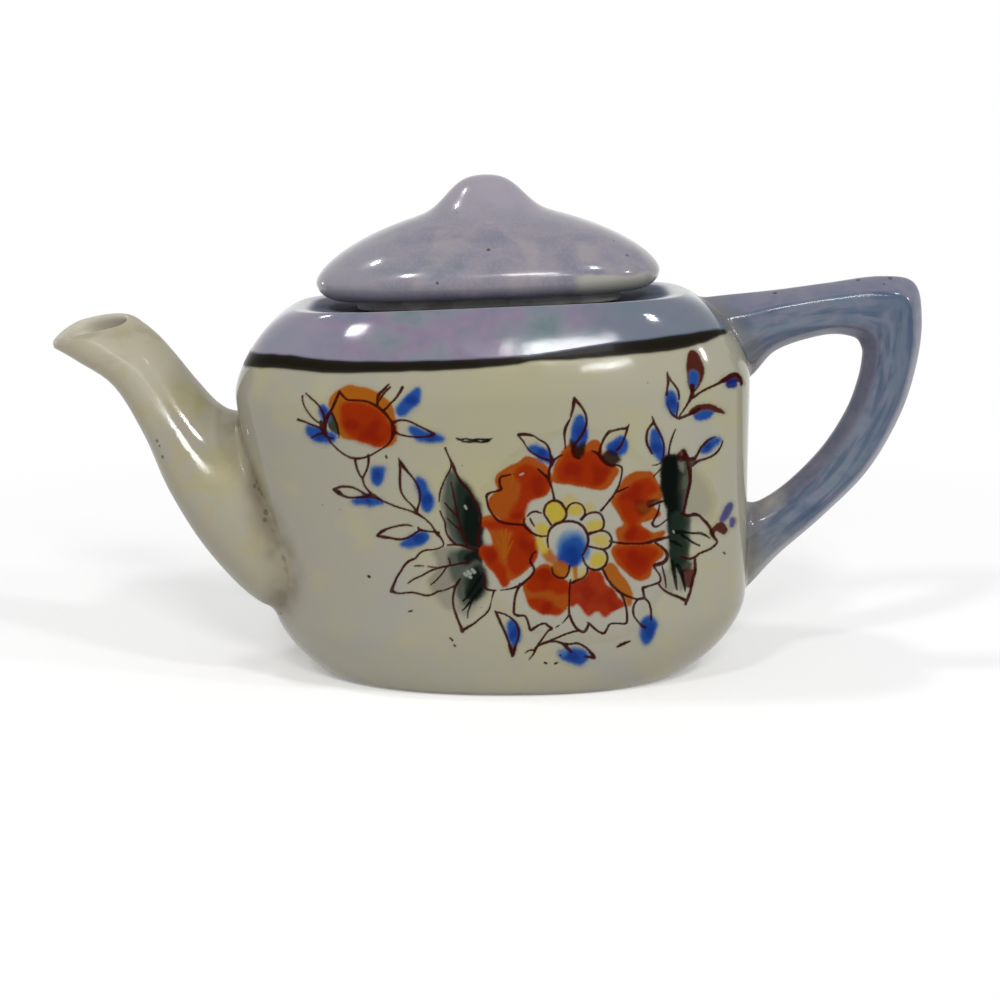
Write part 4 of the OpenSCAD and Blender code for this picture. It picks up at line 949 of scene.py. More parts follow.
def spout_points(t, turn, inset=0.0):
    s, low, high = limb_edges(SPOUT_KEYS, t, SPOUT_REACH, SPOUT_LOW_Z, SPOUT_H)
    half = (high - low) / 2
    x, y = oval(turn, 1, 1, SPOUT_SQUARE)
    side = mix(SPOUT_TIP_W, SPOUT_ROOT_W, s[..., 4]) / 2 - inset
    drawn = 1 - inset / np.linalg.norm(half, axis=-1)
    points = (low + high) / 2 + half * (x * drawn)[..., None]
    points[..., 0] *= -1
    points[..., 1] -= side * y * (1 - SPOUT_EGG * x)
    tip = (t / (len(SPOUT_KEYS) - 1)) ** 4
    points[..., 2] += tip * (LIP_ARCH * y * y * (1 - x / 2) - LIP_DIP * y / 2)
    return points


def make_spout():
    turn = around(LIMB_COLUMNS)
    last = float(len(SPOUT_KEYS) - 1)
    tries = np.linspace(0, last / 2, JOINT_TRIES)

    def outer_path(t):
        return spout_points(t + 0 * turn, turn)

    def inner_path(t):
        return spout_points(t + 0 * turn, turn, SPOUT_WALL)

    rows, t_clear, joint = fillet(outer_path, first_outside(outer_path, tries), SPOUT_FILLET, 1)
    share = np.linspace(0, 1, SPOUT_RINGS)[:, None]
    outer = outer_path(mix(t_clear[None, :], last, share))
    ends, backs = [[path(t) for path in (outer_path, inner_path)] for t in (last, last - 0.1)]
    curl = np.outer(LIP_CURL * smooth(0.2, 1, -np.cos(turn)), (0, 0, 1))
    ways = [unit(unit(end - back) + curl) for end, back in zip(ends, backs)]
    pulls = [end + way * LIP_H * 4 / 3 for end, way in zip(ends, ways)]
    lip = [
        (1 - share) ** 3 * ends[0] + 3 * share * (1 - share) ** 2 * pulls[0]
        + 3 * share ** 2 * (1 - share) * pulls[1] + share ** 3 * ends[1]
        for share in np.linspace(0, 1, LIP_RINGS)[1:-1]
    ]
    inner = inner_path(mix(last, first_outside(inner_path, tries)[None, :], share[::3]))
    skin = np.concatenate([rows, outer, np.array(lip), inner])
    within = np.zeros(skin.shape[:2])
    within[-len(inner) - len(lip) // 2:] = 1
    shares = {"joint_mm": distance_to(skin, joint), "inside": within}
    return make_skin("spout_glazed", skin, looped=True, shares=shares), joint


def distance_to(points, line):
    """Distance in millimetres from points to the nearest point of a line."""
    flat = points.reshape(-1, 3)
    near = np.full(len(flat), 1e9)
    for at in line:
        near = np.minimum(near, ((flat - at) ** 2).sum(1))
    return np.sqrt(near).reshape(points.shape[:-1])


def handle_section(turn):
    """The section, as shares: out from the inner side of the loop, -1, to the outer, 1, and to the sides."""
    x, y = np.cos(turn), np.sin(turn)
    lean = y * (1 - HANDLE_FLAT)
    total = sum(np.abs(value) ** HANDLE_CRISP for value in (y, x + lean, x - lean))
    grow = total ** (-1 / HANDLE_CRISP)
    return x * grow * 2 ** (1 / HANDLE_CRISP), y * grow


def handle_points(t, turn):
    _, outer, inner = limb_edges(HANDLE_KEYS, t, HANDLE_REACH, HANDLE_LOW_Z, HANDLE_H)
    out, side = handle_section(turn)
    points = (outer + inner) / 2 + (outer - inner) / 2 * out[..., None]
    points[..., 1] += side * HANDLE_T / 2
    return points


def make_handle():
    turn = around(LIMB_COLUMNS)
    last = float(len(HANDLE_KEYS) - 1)

    def path(t):
        return handle_points(t + 0 * turn, turn)

    start = first_outside(path, np.linspace(0, 3, JOINT_TRIES))
    end = first_outside(path, np.linspace(last - 3, last, JOINT_TRIES), inside_first=False)
    top_rows, t_start, top_joint = fillet(path, start, HANDLE_FILLET, 1)
    low_rows, t_end, low_joint = fillet(path, end, HANDLE_FILLET, -1)
    middle = path(mix(t_start[None, :], t_end[None, :], np.linspace(0, 1, HANDLE_RINGS)[:, None]))
    rows = np.concatenate([top_rows, middle, low_rows[::-1]])
    joint = np.concatenate([top_joint, low_joint])
    bevel = 1 - smooth(0.80, 0.97, np.abs(rows[..., 1]) / (HANDLE_T / 2))
    out = np.tile(handle_section(turn)[0], (len(rows), 1))
    limb = np.tile(np.linspace(0, 1, len(rows))[:, None], (1, len(turn)))
    shares = {"joint_mm": distance_to(rows, joint), "bevel": bevel, "out": out, "limb": limb}
    return make_skin("handle_glazed", rows, shares=shares), joint


# Lid

def lid_share(x, y):
    """How far out on the lid a point lies, from 0 in its middle to 1 on its widest line."""
    return (np.abs(x / LID_A) ** LID_SQUARE + np.abs(y / LID_B) ** LID_SQUARE) ** (1 / LID_SQUARE)


def dome_z(x, y):
    share = np.clip(lid_share(x, y), 0, 1)
    return EDGE_Z + DOME_H * (1 - share ** DOME_BEND) ** (1 / DOME_BEND)


def knob_z(x, y):
    """The dome with the bell of the knob on it."""
    flank = math.log(2) ** (-1 / KNOB_STEEP)
    out = np.hypot(x / KNOB_A, y / KNOB_B) / flank
    return dome_z(x, y) + KNOB_H * np.exp(-out ** KNOB_STEEP)


def lid_rings(turn, inset, height, angles):
    """Rings of the dome, or of its hollow when they are inset."""
    for angle in angles:
        out, up = arch(angle, DOME_BEND)
        yield ring(turn, (LID_A - inset) * out, (LID_B - inset) * out, LID_SQUARE, EDGE_Z + height * up)


def edge_rings(turn, wall, angles):
    """Rings of the rolled edge, or of its hollow inside a wall."""
    for angle in angles:
        out = EDGE_IN - (EDGE_IN - wall) * math.sin(angle)
        yield ring(turn, LID_A - out, LID_B - out, LID_SQUARE, EDGE_Z - (EDGE_UP - wall) * math.cos(angle))


def make_lid_cover():
    turn = around(LID_COLUMNS)
    hole_a, hole_b = FLANGE_A - FLANGE_T, FLANGE_B - FLANGE_T
    under = []
    for share, up in ((0.4, 0), (0.8, 0), (1, 0), (1, LID_WALL)):
        a, b = mix(LID_A - EDGE_IN, hole_a, share), mix(LID_B - EDGE_IN, hole_b, share)
        under.append(ring(turn, a, b, LID_SQUARE, UNDER_Z + up))
    rows = [
        *lid_rings(turn, 0, DOME_H, quarter(DOME_RINGS)[::-1][1:]),
        *edge_rings(turn, 0, quarter(EDGE_RINGS)[::-1][1:]),
        *under,
        *edge_rings(turn, LID_WALL, quarter(HOLLOW_EDGE_RINGS)),
        *lid_rings(turn, LID_WALL, DOME_H - LID_WALL, quarter(HOLLOW_RINGS)[1:-1]),
    ]
    return make_skin("lid_cover_glazed", np.array(rows))


def make_knob():
    turn = around(LIMB_COLUMNS)
    rows = []
    for share in np.append(np.linspace(0, 1, KNOB_RINGS)[1:], 1.002):
        x, y = oval(turn, KNOB_A * KNOB_FOOT * share, KNOB_B * KNOB_FOOT * share, 2)
        rows.append(np.stack([x, y, knob_z(x, y) + KNOB_LIFT], -1))
    rows.append(rows[-1] - (0, 0, KNOB_SUNK))
    return make_skin("lid_knob_glazed", np.array(rows))


def rounded(corners, radius):
    """A closed outline's corners, each turned into a short arc."""
    corners = np.array(corners, float)
    points = []
    for before, at, after in zip(np.roll(corners, 1, 0), corners, np.roll(corners, -1, 0)):
        start, end = at + unit(before - at) * radius, at + unit(after - at) * radius
        points += [bend(start, at, end, share) for share in np.linspace(0, 1, EDGE_STEPS + 1)]
    return np.array(points)


def make_flange():
    turn = around(LID_COLUMNS)
    low, top = COLLAR_Z - FLANGE_H, UNDER_Z - FLANGE_CLEAR
    collar = [(COLLAR_OUT, top), (COLLAR_OUT, COLLAR_Z), (0, COLLAR_Z)]
    section = rounded([(-FLANGE_T, top), *collar, (0, low), (-FLANGE_T, low)], EDGE_R)
    rows = [ring(turn, FLANGE_A + out, FLANGE_B + out, MOUTH_SQUARE, z) for out, z in section]
    return make_skin("lid_flange_bisque", np.array(rows), looped=True)


# Painting. The tables above are laid on a canvas, and its painted part becomes a thin skin on the wall

# Canvas: its left, top, right and bottom, and the size of its cells, in pixels of the picture
PAINT_BOX = (292, 342, 746, 670)
PAINT_STEP = 0.7
# Cover from which on there is paint at all
LEAST_COVER = 0.015
# Lift of the thinnest paint off the wall, so that it clears the wall's facets, and thickness on top of it
PAINT_LIFT = 0.012
WASH_THICK, LINE_THICK = 0.014, 0.012
# Faint bleeding of a wash past its edge: how strong, and how many pixels far
BLEED, BLEED_PX = 0.3, 3.0
# Pale halo round the blue washes: how much softer in pixels, and how strong
HALO, HALO_STRENGTH = 4.0, 0.7
# Random fields that roughen the paint's edges: size of their humps in pixels, and how far they go
GRAIN_PX, FLOW_PX = 2.2, 9
WASH_GRAIN, WASH_FLOW, LINE_GRAIN = 0.25, 0.9, 0.14
# Strokes: softness of their edge and how much wider they are than traced, in pixels, and their strength
LINE_SOFT, LINE_EXTRA, LINE_STRENGTH = 0.45, 0.25, 0.99
CORE_STRENGTH = 0.62


def srgb(red, green, blue):
    """A colour given as a screen's 0 to 255, in linear light."""
    return tuple(float(((level / 255 + 0.055) / 1.055) ** 2.4) for level in (red, green, blue))


PIGMENTS = {name: srgb(*tone) for name, *tone in (
    ("orange", 146, 66, 2), ("golden", 148, 80, 6), ("red", 140, 38, 0), ("deep red", 116, 16, 0),
    ("red brown", 66, 12, 6), ("brown", 36, 12, 0), ("blue", 22, 66, 136), ("pale blue", 88, 122, 152),
    ("deep blue", 0, 28, 106), ("violet blue", 42, 44, 112), ("pale grey", 112, 110, 98),
    ("grey green", 62, 72, 62), ("green", 20, 34, 26), ("dark green", 1, 9, 5), ("yellow", 172, 152, 48),
    ("pale yellow", 166, 154, 96), ("white", 163, 161, 150), ("bare_and_highlight", 136, 142, 130), ("ink", 50, 4, 4),
    ("black", 26, 23, 16),
)}


def pixel_rays(x, y):
    """Directions from the camera through pixels of the picture."""
    forward = unit(np.array(CAMERA_AIM) - np.array(CAMERA_AT))
    right = unit(np.cross(forward, [0, 0, 1]))
    up = np.cross(right, forward)
    focal, half = LENS_MM / SENSOR_MM * PICTURE_PX, PICTURE_PX / 2
    return unit(forward + right * ((x - half) / focal)[..., None] + up * ((half - y) / focal)[..., None])


def on_front(x, y):
    """Upright points of the pot's front wall at pixels of the picture."""
    at, rays = np.array(CAMERA_AT), pixel_rays(x, y)
    near, far = [(depth - at[1]) / rays[..., 1] for depth in (-BELLY_B - 2, -BELLY_B / 3)]
    for _ in range(HALVINGS):
        middle = (near + far) / 2
        inside = outside(to_upright(at + rays * middle[..., None])) < 0
        near, far = np.where(inside, near, middle), np.where(inside, middle, far)
    return to_upright(at + rays * near[..., None])


def curve(knots, closed=False):
    """A smooth line through knots, in steps of about 1.5 pixels."""
    knots = np.array(knots, float)
    if closed:
        knots = np.concatenate([knots[-1:], knots, knots[:2]])
    spans = np.linalg.norm(np.diff(knots[:, :2], axis=0), axis=1)
    parts = [np.linspace(i, i + 1, 2 + int(span / 1.5), endpoint=False) for i, span in enumerate(spans)]
    if closed:
        parts = parts[1:-1]
        return along(knots, np.concatenate(parts))
    return along(knots, np.append(np.concatenate(parts), len(knots) - 1.0))


def ripple(x, y, size, seed):
    """A soft random field between about -1 and 1, with humps of about the given size."""
    random = np.random.default_rng(seed)
    field = np.zeros_like(x)
    for _ in range(9):
        turn, phase = random.uniform(0, FULL_TURN, 2)
        pitch = random.uniform(0.6, 1.5) * FULL_TURN / (2 * size)
        field += np.sin((x * math.cos(turn) + y * math.sin(turn)) * pitch + phase)
    return field / 4


def to_segment(x, y, start, end):
    """The share of the way along segments that is nearest to points, and the distance there."""
    dx, dy = end[0] - start[0], end[1] - start[1]
    share = np.clip(((x - start[0]) * dx + (y - start[1]) * dy) / (dx * dx + dy * dy), 0, 1)
    return share, np.hypot(x - start[0] - dx * share, y - start[1] - dy * share)


class Canvas:
    """A grid of pixels with the colour, cover and thickness of the paint laid on it."""

    def __init__(self, box, step):
        self.left, self.top, right, bottom = box
        self.step = step
        xs, ys = np.arange(self.left, right, step), np.arange(self.top, bottom, step)
        self.x, self.y = np.meshgrid(xs, ys)
        self.colour = np.zeros(self.x.shape + (3,))
        self.cover = np.zeros(self.x.shape)
        self.thick = np.zeros(self.x.shape)
        self.grain = ripple(self.x, self.y, GRAIN_PX, 1)
        self.flow = ripple(self.x, self.y, FLOW_PX, 2)

    def window(self, low, high, margin):
        """The slice of the canvas round a box of pixels."""
        first = np.maximum(np.floor((low - margin - (self.left, self.top)) / self.step), 0).astype(int)
        last = np.ceil((high + margin - (self.left, self.top)) / self.step).astype(int) + 1
        return slice(first[1], last[1]), slice(first[0], last[0])

    def lay(self, part, colour, share, thick):
        """Paint of one colour over a part of the canvas, as far as share says."""
        self.thick[part] += thick * share
        total = 1 - (1 - self.cover[part]) * (1 - share)
        weight = (share / np.maximum(total, 1e-6))[..., None]
        self.colour[part] = mix(self.colour[part], np.array(colour), weight)
        self.cover[part] = total

    def wash(self, pigment, soft, strength, corners):
        line = curve(corners, closed=True)
        part = self.window(line.min(0), line.max(0), soft + BLEED_PX)
        x, y = self.x[part][..., None], self.y[part][..., None]
        start, end = line.T, np.roll(line, -1, 0).T
        gap = to_segment(x, y, start, end)[1].min(-1)
        (x0, y0), (dx, dy) = start, end - start
        crossed = (y0 > y) != (end[1] > y)
        beyond = x < x0 + (y - y0) * dx / np.where(dy == 0, 1e-9, dy)
        gap = np.where((crossed & beyond).sum(-1) % 2 == 1, -gap, gap)
        gap += self.grain[part] * WASH_GRAIN + self.flow[part] * min(soft / 4, WASH_FLOW)
        cover = strength * (1 - smooth(-soft / 2, soft / 2, gap)) * (1 - 0.02 * np.abs(self.grain[part]))
        bleed = BLEED * (1 - smooth(-BLEED_PX, BLEED_PX, gap)) * strength
        self.lay(part, PIGMENTS[pigment], bleed, 0.0)
        self.lay(part, PIGMENTS[pigment], cover, WASH_THICK)

    def core(self, pigment, x, y, reach):
        middle = np.array([x, y], float)
        part = self.window(middle, middle, reach * 1.4)
        far = np.hypot(self.x[part] - x, self.y[part] - y) + self.flow[part] * reach * 0.3
        share = CORE_STRENGTH * (1 - smooth(reach * 0.2, reach * 1.2, far)) * self.cover[part] ** 2
        self.colour[part] = mix(self.colour[part], np.array(PIGMENTS[pigment]), share[..., None])

    def lines(self, pigment, strokes):
        gap = np.full(self.x.shape, 9.0)
        for knots in strokes:
            line = curve(knots)
            for start, end in zip(line[:-1], line[1:]):
                low, high = np.minimum(start, end)[:2], np.maximum(start, end)[:2]
                part = self.window(low, high, max(start[2], end[2]) / 2 + 2)
                share, far = to_segment(self.x[part], self.y[part], start, end)
                gap[part] = np.minimum(gap[part], far - mix(start[2], end[2], share) / 2)
        gap += self.grain * LINE_GRAIN - LINE_EXTRA
        share = LINE_STRENGTH * (1 - smooth(-LINE_SOFT, LINE_SOFT, gap)) * (1 - 0.07 * np.abs(self.flow))
        self.lay(slice(None), PIGMENTS[pigment], share, LINE_THICK)


def add_paint(piece, colour, cover):
    """The colour and cover of the paint at each point, as one attribute that the material reads."""
    attribute = piece.data.attributes.new("paint", "FLOAT_COLOR", "POINT")
    values = np.concatenate([colour, cover[:, None]], 1).astype(np.float32)
    attribute.data.foreach_set("color", values.ravel())


def make_spray():
    canvas = Canvas(PAINT_BOX, PAINT_STEP)
    for pigment, soft, strength, *shapes in WASHES:
        for corners in shapes:
            if pigment == "blue":
                canvas.wash("pale blue", soft + HALO, HALO_STRENGTH, corners)
            canvas.wash(pigment, soft, strength, corners)
    for pigment, cores in CORES.items():
        for core in cores:
            canvas.core(pigment, *core)
    for pigment, strokes in (
        ("ink", INK_STROKES), ("dark green", GREEN_STROKES), ("golden", HATCHING), ("bare_and_highlight", BARE_AND_HIGHLIGHT_MARKS),
    ):
        canvas.lines(pigment, strokes)
    shown = canvas.cover > LEAST_COVER
    cell = shown[:-1, :-1] | shown[1:, :-1] | shown[:-1, 1:] | shown[1:, 1:]
    used = np.zeros_like(shown)
    for rows in (slice(None, -1), slice(1, None)):
        for columns in (slice(None, -1), slice(1, None)):
            used[rows, columns] |= cell
    points = on_front(canvas.x[used], canvas.y[used])
    normal, _ = wall_normal(points)
    above = above_band(points)
    points = points + normal * (PAINT_LIFT + canvas.thick[used])[:, None]
    number = np.zeros(used.shape, int)
    number[used] = np.arange(used.sum())
    corners = [number[1:, :-1], number[1:, 1:], number[:-1, 1:], number[:-1, :-1]]
    faces = np.stack([corner[cell] for corner in corners], -1).tolist()
    piece = make_mesh("painted_spray", points, faces, {"above_mm": above})
    add_paint(piece, canvas.colour[used], canvas.cover[used])
    return piece


# Line round the shoulder: pixels across, and of its upper and lower edge, and past the handle as listed below
BAND_PIXELS = [
    (250, 353.5, 366.5), (262, 354.5, 367), (275, 355.5, 367.5), (290, 356, 368), (308, 358.5, 370),
    (326, 361, 372), (350, 362, 372), (380, 362.5, 371.5), (410, 362, 370.5), (440, 361.5, 370),
    (470, 360.5, 368), (494, 359, 366), (518, 358, 363.2), (530, 357.2, 360.4), (542, 356, 359),
    (554, 354, 359.2), (570, 351.5, 358.6), (590, 348, 357), (614, 344.5, 355), (638, 341, 353),
    (662, 338, 351), (680, 335.5, 347.5), (700, 332.5, 342), (716, 330.5, 335.5), (728, 330, 331.2),
]
# Round the back: share of the turn from the handle to the spout, height and width in millimetres
BAND_BACK = [
    (0.06, 56.9, 0.2), (0.10, 56.7, 0.9), (0.16, 56.4, 1.5), (0.22, 56.2, 1.9), (0.30, 55.9, 1.7),
    (0.38, 56.0, 1.3), (0.46, 55.8, 1.6), (0.54, 55.6, 1.9), (0.62, 55.8, 1.5), (0.70, 55.5, 1.3),
    (0.78, 55.4, 1.8), (0.86, 55.3, 2.0), (0.94, 55.3, 1.8), (1.0, 55.4, 1.9),
]
BAND_SOFT = 0.16
BAND_EXTRA = 0.13
# Fading of the line's edges: how far in, counted in BAND_SOFT, and how much paint there is
BAND_FADE = [(-1.5, 0), (-0.5, 0.3), (0.3, 0.8), (1, 0.97)]


def band_edges(turn):
    """Heights of the line's upper and lower edge on the upright pot."""
    x, high, low = np.array(BAND_PIXELS, float).T
    edges = [on_front(x, y) for y in (high, low)]
    a, b, _ = outline(edges[0][:, 2])
    front = np.arctan2(edges[0][:, 1] / b, edges[0][:, 0] / a) % FULL_TURN
    share, height, width = np.array(BAND_BACK).T
    turns = np.concatenate([share * math.pi, front])
    tops = np.concatenate([height + width / 2, edges[0][:, 2]])
    bottoms = np.concatenate([height - width / 2, edges[1][:, 2]])
    return [np.interp(turn, turns, values, period=FULL_TURN) for values in (tops, bottoms)]


def above_band(points):
    """Millimetres above the middle of the line round the shoulder."""
    a, b, _ = outline(np.minimum(points[..., 2], BODY_H))
    turn = np.arctan2(points[..., 1] / b, points[..., 0] / a) % FULL_TURN
    top, bottom = band_edges(turn)
    return points[..., 2] - (top + bottom) / 2


def make_band():
    turn = around(BAND_COLUMNS)
    top, bottom = band_edges(turn)
    x, y = BELLY_A * np.cos(turn), BELLY_A * np.sin(turn)
    top = top + BAND_EXTRA + 0.05 * ripple(x, y, 3.0, 5)
    bottom = bottom - BAND_EXTRA + 0.05 * ripple(x, y, 2.5, 6)
    wide = smooth(0.3, 0.75, top - bottom)
    across = [(0, edge, cover) for edge, cover in BAND_FADE] + [(share, 0, 1) for share in (0.3, 0.5, 0.7)]
    across += [(1, -edge, cover) for edge, cover in BAND_FADE[::-1]]
    rows, covers = [], []
    for share, edge, cover in across:
        points = wall_point(turn, mix(bottom, top, share) + edge * BAND_SOFT)
        normal, _ = wall_normal(points)
        rows.append(points + normal * (PAINT_LIFT * 1.2 + LINE_THICK * cover))
        covers.append(cover * wide)
    rows, covers = np.array(rows), np.array(covers)
    points = rows.reshape(-1, 3)
    piece = make_mesh("shoulder_line", points, tube_faces(*rows.shape[:2]), {"above_mm": above_band(points)})
    add_paint(piece, np.tile(PIGMENTS["black"], (len(points), 1)), covers.ravel())
    return piece


# Materials. Colours are as they show on screen, and sizes are in millimetres

def add_node(tree, kind, inputs=None, **settings):
    made = tree.nodes.new(kind)
    for key, value in settings.items():
        setattr(made, key, value)
    for key, value in (inputs or {}).items():
        feed(tree, made.inputs[key], value)
    return made


def feed(tree, socket, value):
    """Give an input a link, a colour or a plain value."""
    if isinstance(value, bpy.types.NodeSocket):
        tree.links.new(value, socket)
    elif socket.type == "RGBA" and len(value) == 3:
        socket.default_value = tuple(value) + (1,)
    else:
        socket.default_value = value


class Nodes:
    """The nodes of one material, each added with its inputs and settings."""

    def __init__(self, name):
        self.material = bpy.data.materials.new(name)
        self.material.use_nodes = True
        self.tree = self.material.node_tree
        self.shader = self.tree.nodes["Principled BSDF"]
        place = self.add("ShaderNodeTexCoord").outputs["Object"]
        self.at = self.vector("SCALE", place, Scale=1 / MM)
        self.x, _, self.z = self.add("ShaderNodeSeparateXYZ", {0: self.at}).outputs

    def add(self, kind, inputs=None, **settings):
        return add_node(self.tree, kind, inputs, **settings)

    def shade(self, **values):
        """Set the shader's own inputs, with _ for a space in their names."""
        for key, value in values.items():
            feed(self.tree, self.shader.inputs[key.replace("_", " ")], value)

    def vector(self, operation, first, second=None, output=0, **inputs):
        made = self.add("ShaderNodeVectorMath", {0: first, **inputs}, operation=operation)
        if second is not None:
            made.inputs[1].default_value = second
        return made.outputs[output]

    def math(self, operation, first, second):
        return self.add("ShaderNodeMath", {0: first, 1: second}, operation=operation).outputs[0]

    def plus(self, first, second):
        return self.math("ADD", first, second)

    def times(self, first, *others):
        for other in others:
            first = self.math("MULTIPLY", first, other)
        return first

    def value(self, name, output="Fac"):
        return self.add("ShaderNodeAttribute", attribute_name=name).outputs[output]

    def noise(self, size, detail, warp=0.0, stretch=(1, 1, 1), at=None):
        """Cloudy noise from 0 to 1, with features of about the given size."""
        at = self.vector("MULTIPLY", at or self.at, stretch)
        inputs = {"Vector": at, "Scale": 1 / size, "Detail": detail, "Distortion": warp}
        return self.add("ShaderNodeTexNoise", inputs).outputs["Fac"]

    def ragged(self, value, amount, *noise):
        """A value made uneven by the given amount of noise."""
        return self.plus(value, self.times(self.noise(*noise), amount))

    def remap(self, value, low, high, start=0.0, end=1.0):
        """A soft step: start below low, end above high."""
        inputs = {"Value": value, "From Min": low, "From Max": high, "To Min": start, "To Max": end}
        return self.add("ShaderNodeMapRange", inputs, interpolation_type="SMOOTHSTEP").outputs["Result"]

    def patches(self, noise, low, high, start=0.0, end=1.0):
        """Cloudy patches: start where the noise is below low, end where it is above high."""
        return self.remap(self.noise(*noise), low, high, start, end)

    def blend(self, share, first, second):
        made = self.add("ShaderNodeMix", data_type="RGBA")
        for index, value in ((0, share), (6, first), (7, second)):
            feed(self.tree, made.inputs[index], value)
        return made.outputs[2]

    def tint(self, colour, tone, *shares):
        """A tone over a colour, as far as the shares together say."""
        return self.blend(self.times(*shares), colour, srgb(*tone))

    def ramp(self, value, stops):
        made = self.add("ShaderNodeValToRGB", {"Fac": value})
        elements = made.color_ramp.elements
        while len(elements) < len(stops):
            elements.new(0.5)
        for element, (position, *tone) in zip(elements, stops):
            element.position, element.color = position, srgb(*tone) + (1,)
        return made.outputs["Color"]

    def ball(self, x, y, z, reach, ragged=0.0, fade=0.55):
        """1 near a place, fading out to 0 from a share of its reach on."""
        far = self.vector("LENGTH", self.vector("SUBTRACT", self.at, (x, y, z)), output="Value")
        if ragged:
            far = self.ragged(far, ragged, 2.5, 4)
        return self.remap(far, reach * fade, reach, 1.0, 0.0)

    def finish(self, colour, rough, waves, grain, gloss=0.24, coat=None):
        """The glaze itself: colour, roughness as a range, and the heights of its waves and its grain."""
        coat = gloss if coat is None else coat
        self.shade(Specular_IOR_Level=gloss, Coat_Weight=coat, Coat_Roughness=0.05, Base_Color=colour)
        self.shade(Roughness=self.patches((6, 4), 0.3, 0.7, *rough))
        height = self.ragged(self.times(self.noise(7, 2), waves * MM), grain * MM, 0.7, 3)
        bump = self.add("ShaderNodeBump", {"Height": height, "Strength": 1.0, "Distance": 1.0})
        self.shade(Normal=bump.outputs["Normal"])
        return self.material


def cream_glaze(nodes):
    """Cream lustre: yellower in the middle and at the top, greyer toward the spout and low down."""
    drift = nodes.times(nodes.noise(22, 2), 22)
    cream = nodes.ramp(nodes.remap(nodes.plus(nodes.x, drift), -34, 44), [
        (0.0, 151, 147, 133), (0.35, 154, 150, 130), (0.6, 158, 153, 124), (1.0, 158, 155, 136),
    ])
    low = nodes.remap(nodes.plus(nodes.z, drift), 12, 46, 1.0, 0.0)
    cream = nodes.tint(cream, (155, 151, 137), low, 0.7)
    cream = nodes.tint(cream, (162, 156, 120), nodes.patches((9, 2, 0.3), 0.46, 0.74), 0.8)
    return nodes.tint(cream, (148, 147, 142), nodes.patches((14, 2, 0.4), 0.56, 0.72), 0.6)


# Clay and pearl lustres: position along the noise, and red, green and blue there
CLAY = [(0.3, 150, 149, 146), (0.55, 166, 164, 158), (0.75, 178, 175, 164)]
SHOULDER_PEARL = [
    (0.28, 96, 106, 124), (0.40, 112, 110, 130), (0.50, 124, 110, 132), (0.58, 114, 118, 130),
    (0.70, 94, 112, 116),
]
LID_PEARL = [
    (0.28, 112, 112, 128), (0.40, 122, 120, 134), (0.50, 134, 128, 138), (0.60, 126, 124, 138),
    (0.72, 110, 116, 126),
]
HANDLE_PEARL = [
    (0.28, 72, 90, 112), (0.42, 90, 104, 124), (0.52, 108, 112, 128), (0.62, 96, 112, 126),
    (0.74, 76, 90, 112),
]
BEVEL_PEARL = [(0.3, 90, 98, 118), (0.5, 114, 112, 130), (0.7, 98, 104, 126)]


def pearl(nodes, stops, size=11.0):
    """Mother-of-pearl lustre in soft cloudy patches, with a finer mottle in it."""
    base = nodes.ramp(nodes.noise(size, 2.5, 0.35, (1, 1, 1.8)), stops)
    return nodes.tint(base, (138, 134, 146), nodes.patches((2.2, 4, 0.5), 0.35, 0.7), 0.2)


def body_colour(nodes):
    cream = nodes.tint(cream_glaze(nodes), (150, 146, 132), nodes.value("inside"))
    lustre = pearl(nodes, SHOULDER_PEARL)
    lustre = nodes.tint(lustre, (138, 136, 150), nodes.remap(nodes.x, -34, -22, 1.0, 0.0), 0.6)
    teal = nodes.remap(nodes.ragged(nodes.x, 24, 8, 3), 14, 34)
    lustre = nodes.tint(lustre, (92, 106, 118), teal, 0.75)
    above = nodes.ragged(nodes.value("above_mm"), 0.3, 1.6, 2)
    colour = nodes.blend(nodes.remap(above, -0.2, 0.5), cream, lustre)
    # The gallery's dark blue is partly its lustre and partly painted shade, where the lid shades it
    for name, tone, noise, high, start, end in (
        ("gallery", (66, 74, 98), (5, 3), 0.7, 0.35, 0.85),
        ("rim", (150, 152, 154), (1.8, 3), 0.6, 0.4, 1.0),
        ("foot", (98, 88, 70), (2.5, 4), 0.7, 0.4, 0.9),
    ):
        colour = nodes.tint(colour, tone, nodes.value(name), nodes.patches(noise, 0.3, high, start, end))
    return colour


def joint_stain_and_shade(nodes, colour, strength=0.75):
    """Brown that has settled in the joint with the pot, and round it a wider painted shade of grey in the
    crease.
    """
    # Painted shade: grey-brown darkening up to 5 mm from the joint, where the crease lies in shade
    wide = nodes.remap(nodes.value("joint_mm"), 0.0, 5.0, 1.0, 0.0)
    uneven = nodes.patches((6, 2), 0.36, 0.6, 0.4, 1.0)
    colour = nodes.tint(colour, (110, 101, 80), wide, strength * 1.2, uneven)
    near = nodes.remap(nodes.ragged(nodes.value("joint_mm"), 1.6, 1.1, 4), 0.5, 1.5, 1.0, 0.0)
    return nodes.tint(colour, (84, 66, 40), near, nodes.patches((4.5, 3), 0.38, 0.62, 0.15, strength))


# Iron specks and pinholes: pixel and radius in millimetres
SPECKS = {
    "lid": [(488.5, 249.8, 0.3), (437.3, 283.2, 0.24), (627, 255.2, 0.24), (614, 241, 0.18)],
    "handle": [(775, 293, 0.34), (858, 280, 0.36), (890, 278, 0.4), (884, 284, 0.2)],
    "spout": [
        (157, 441, 0.28), (159.5, 446, 0.2), (162.5, 457, 0.3), (257, 481, 0.45), (260.5, 483, 0.4),
        (255, 486, 0.4), (259, 489, 0.35), (262, 493, 0.5), (264, 496, 0.3), (266, 512, 0.5),
        (265, 520, 0.4),
    ],
}


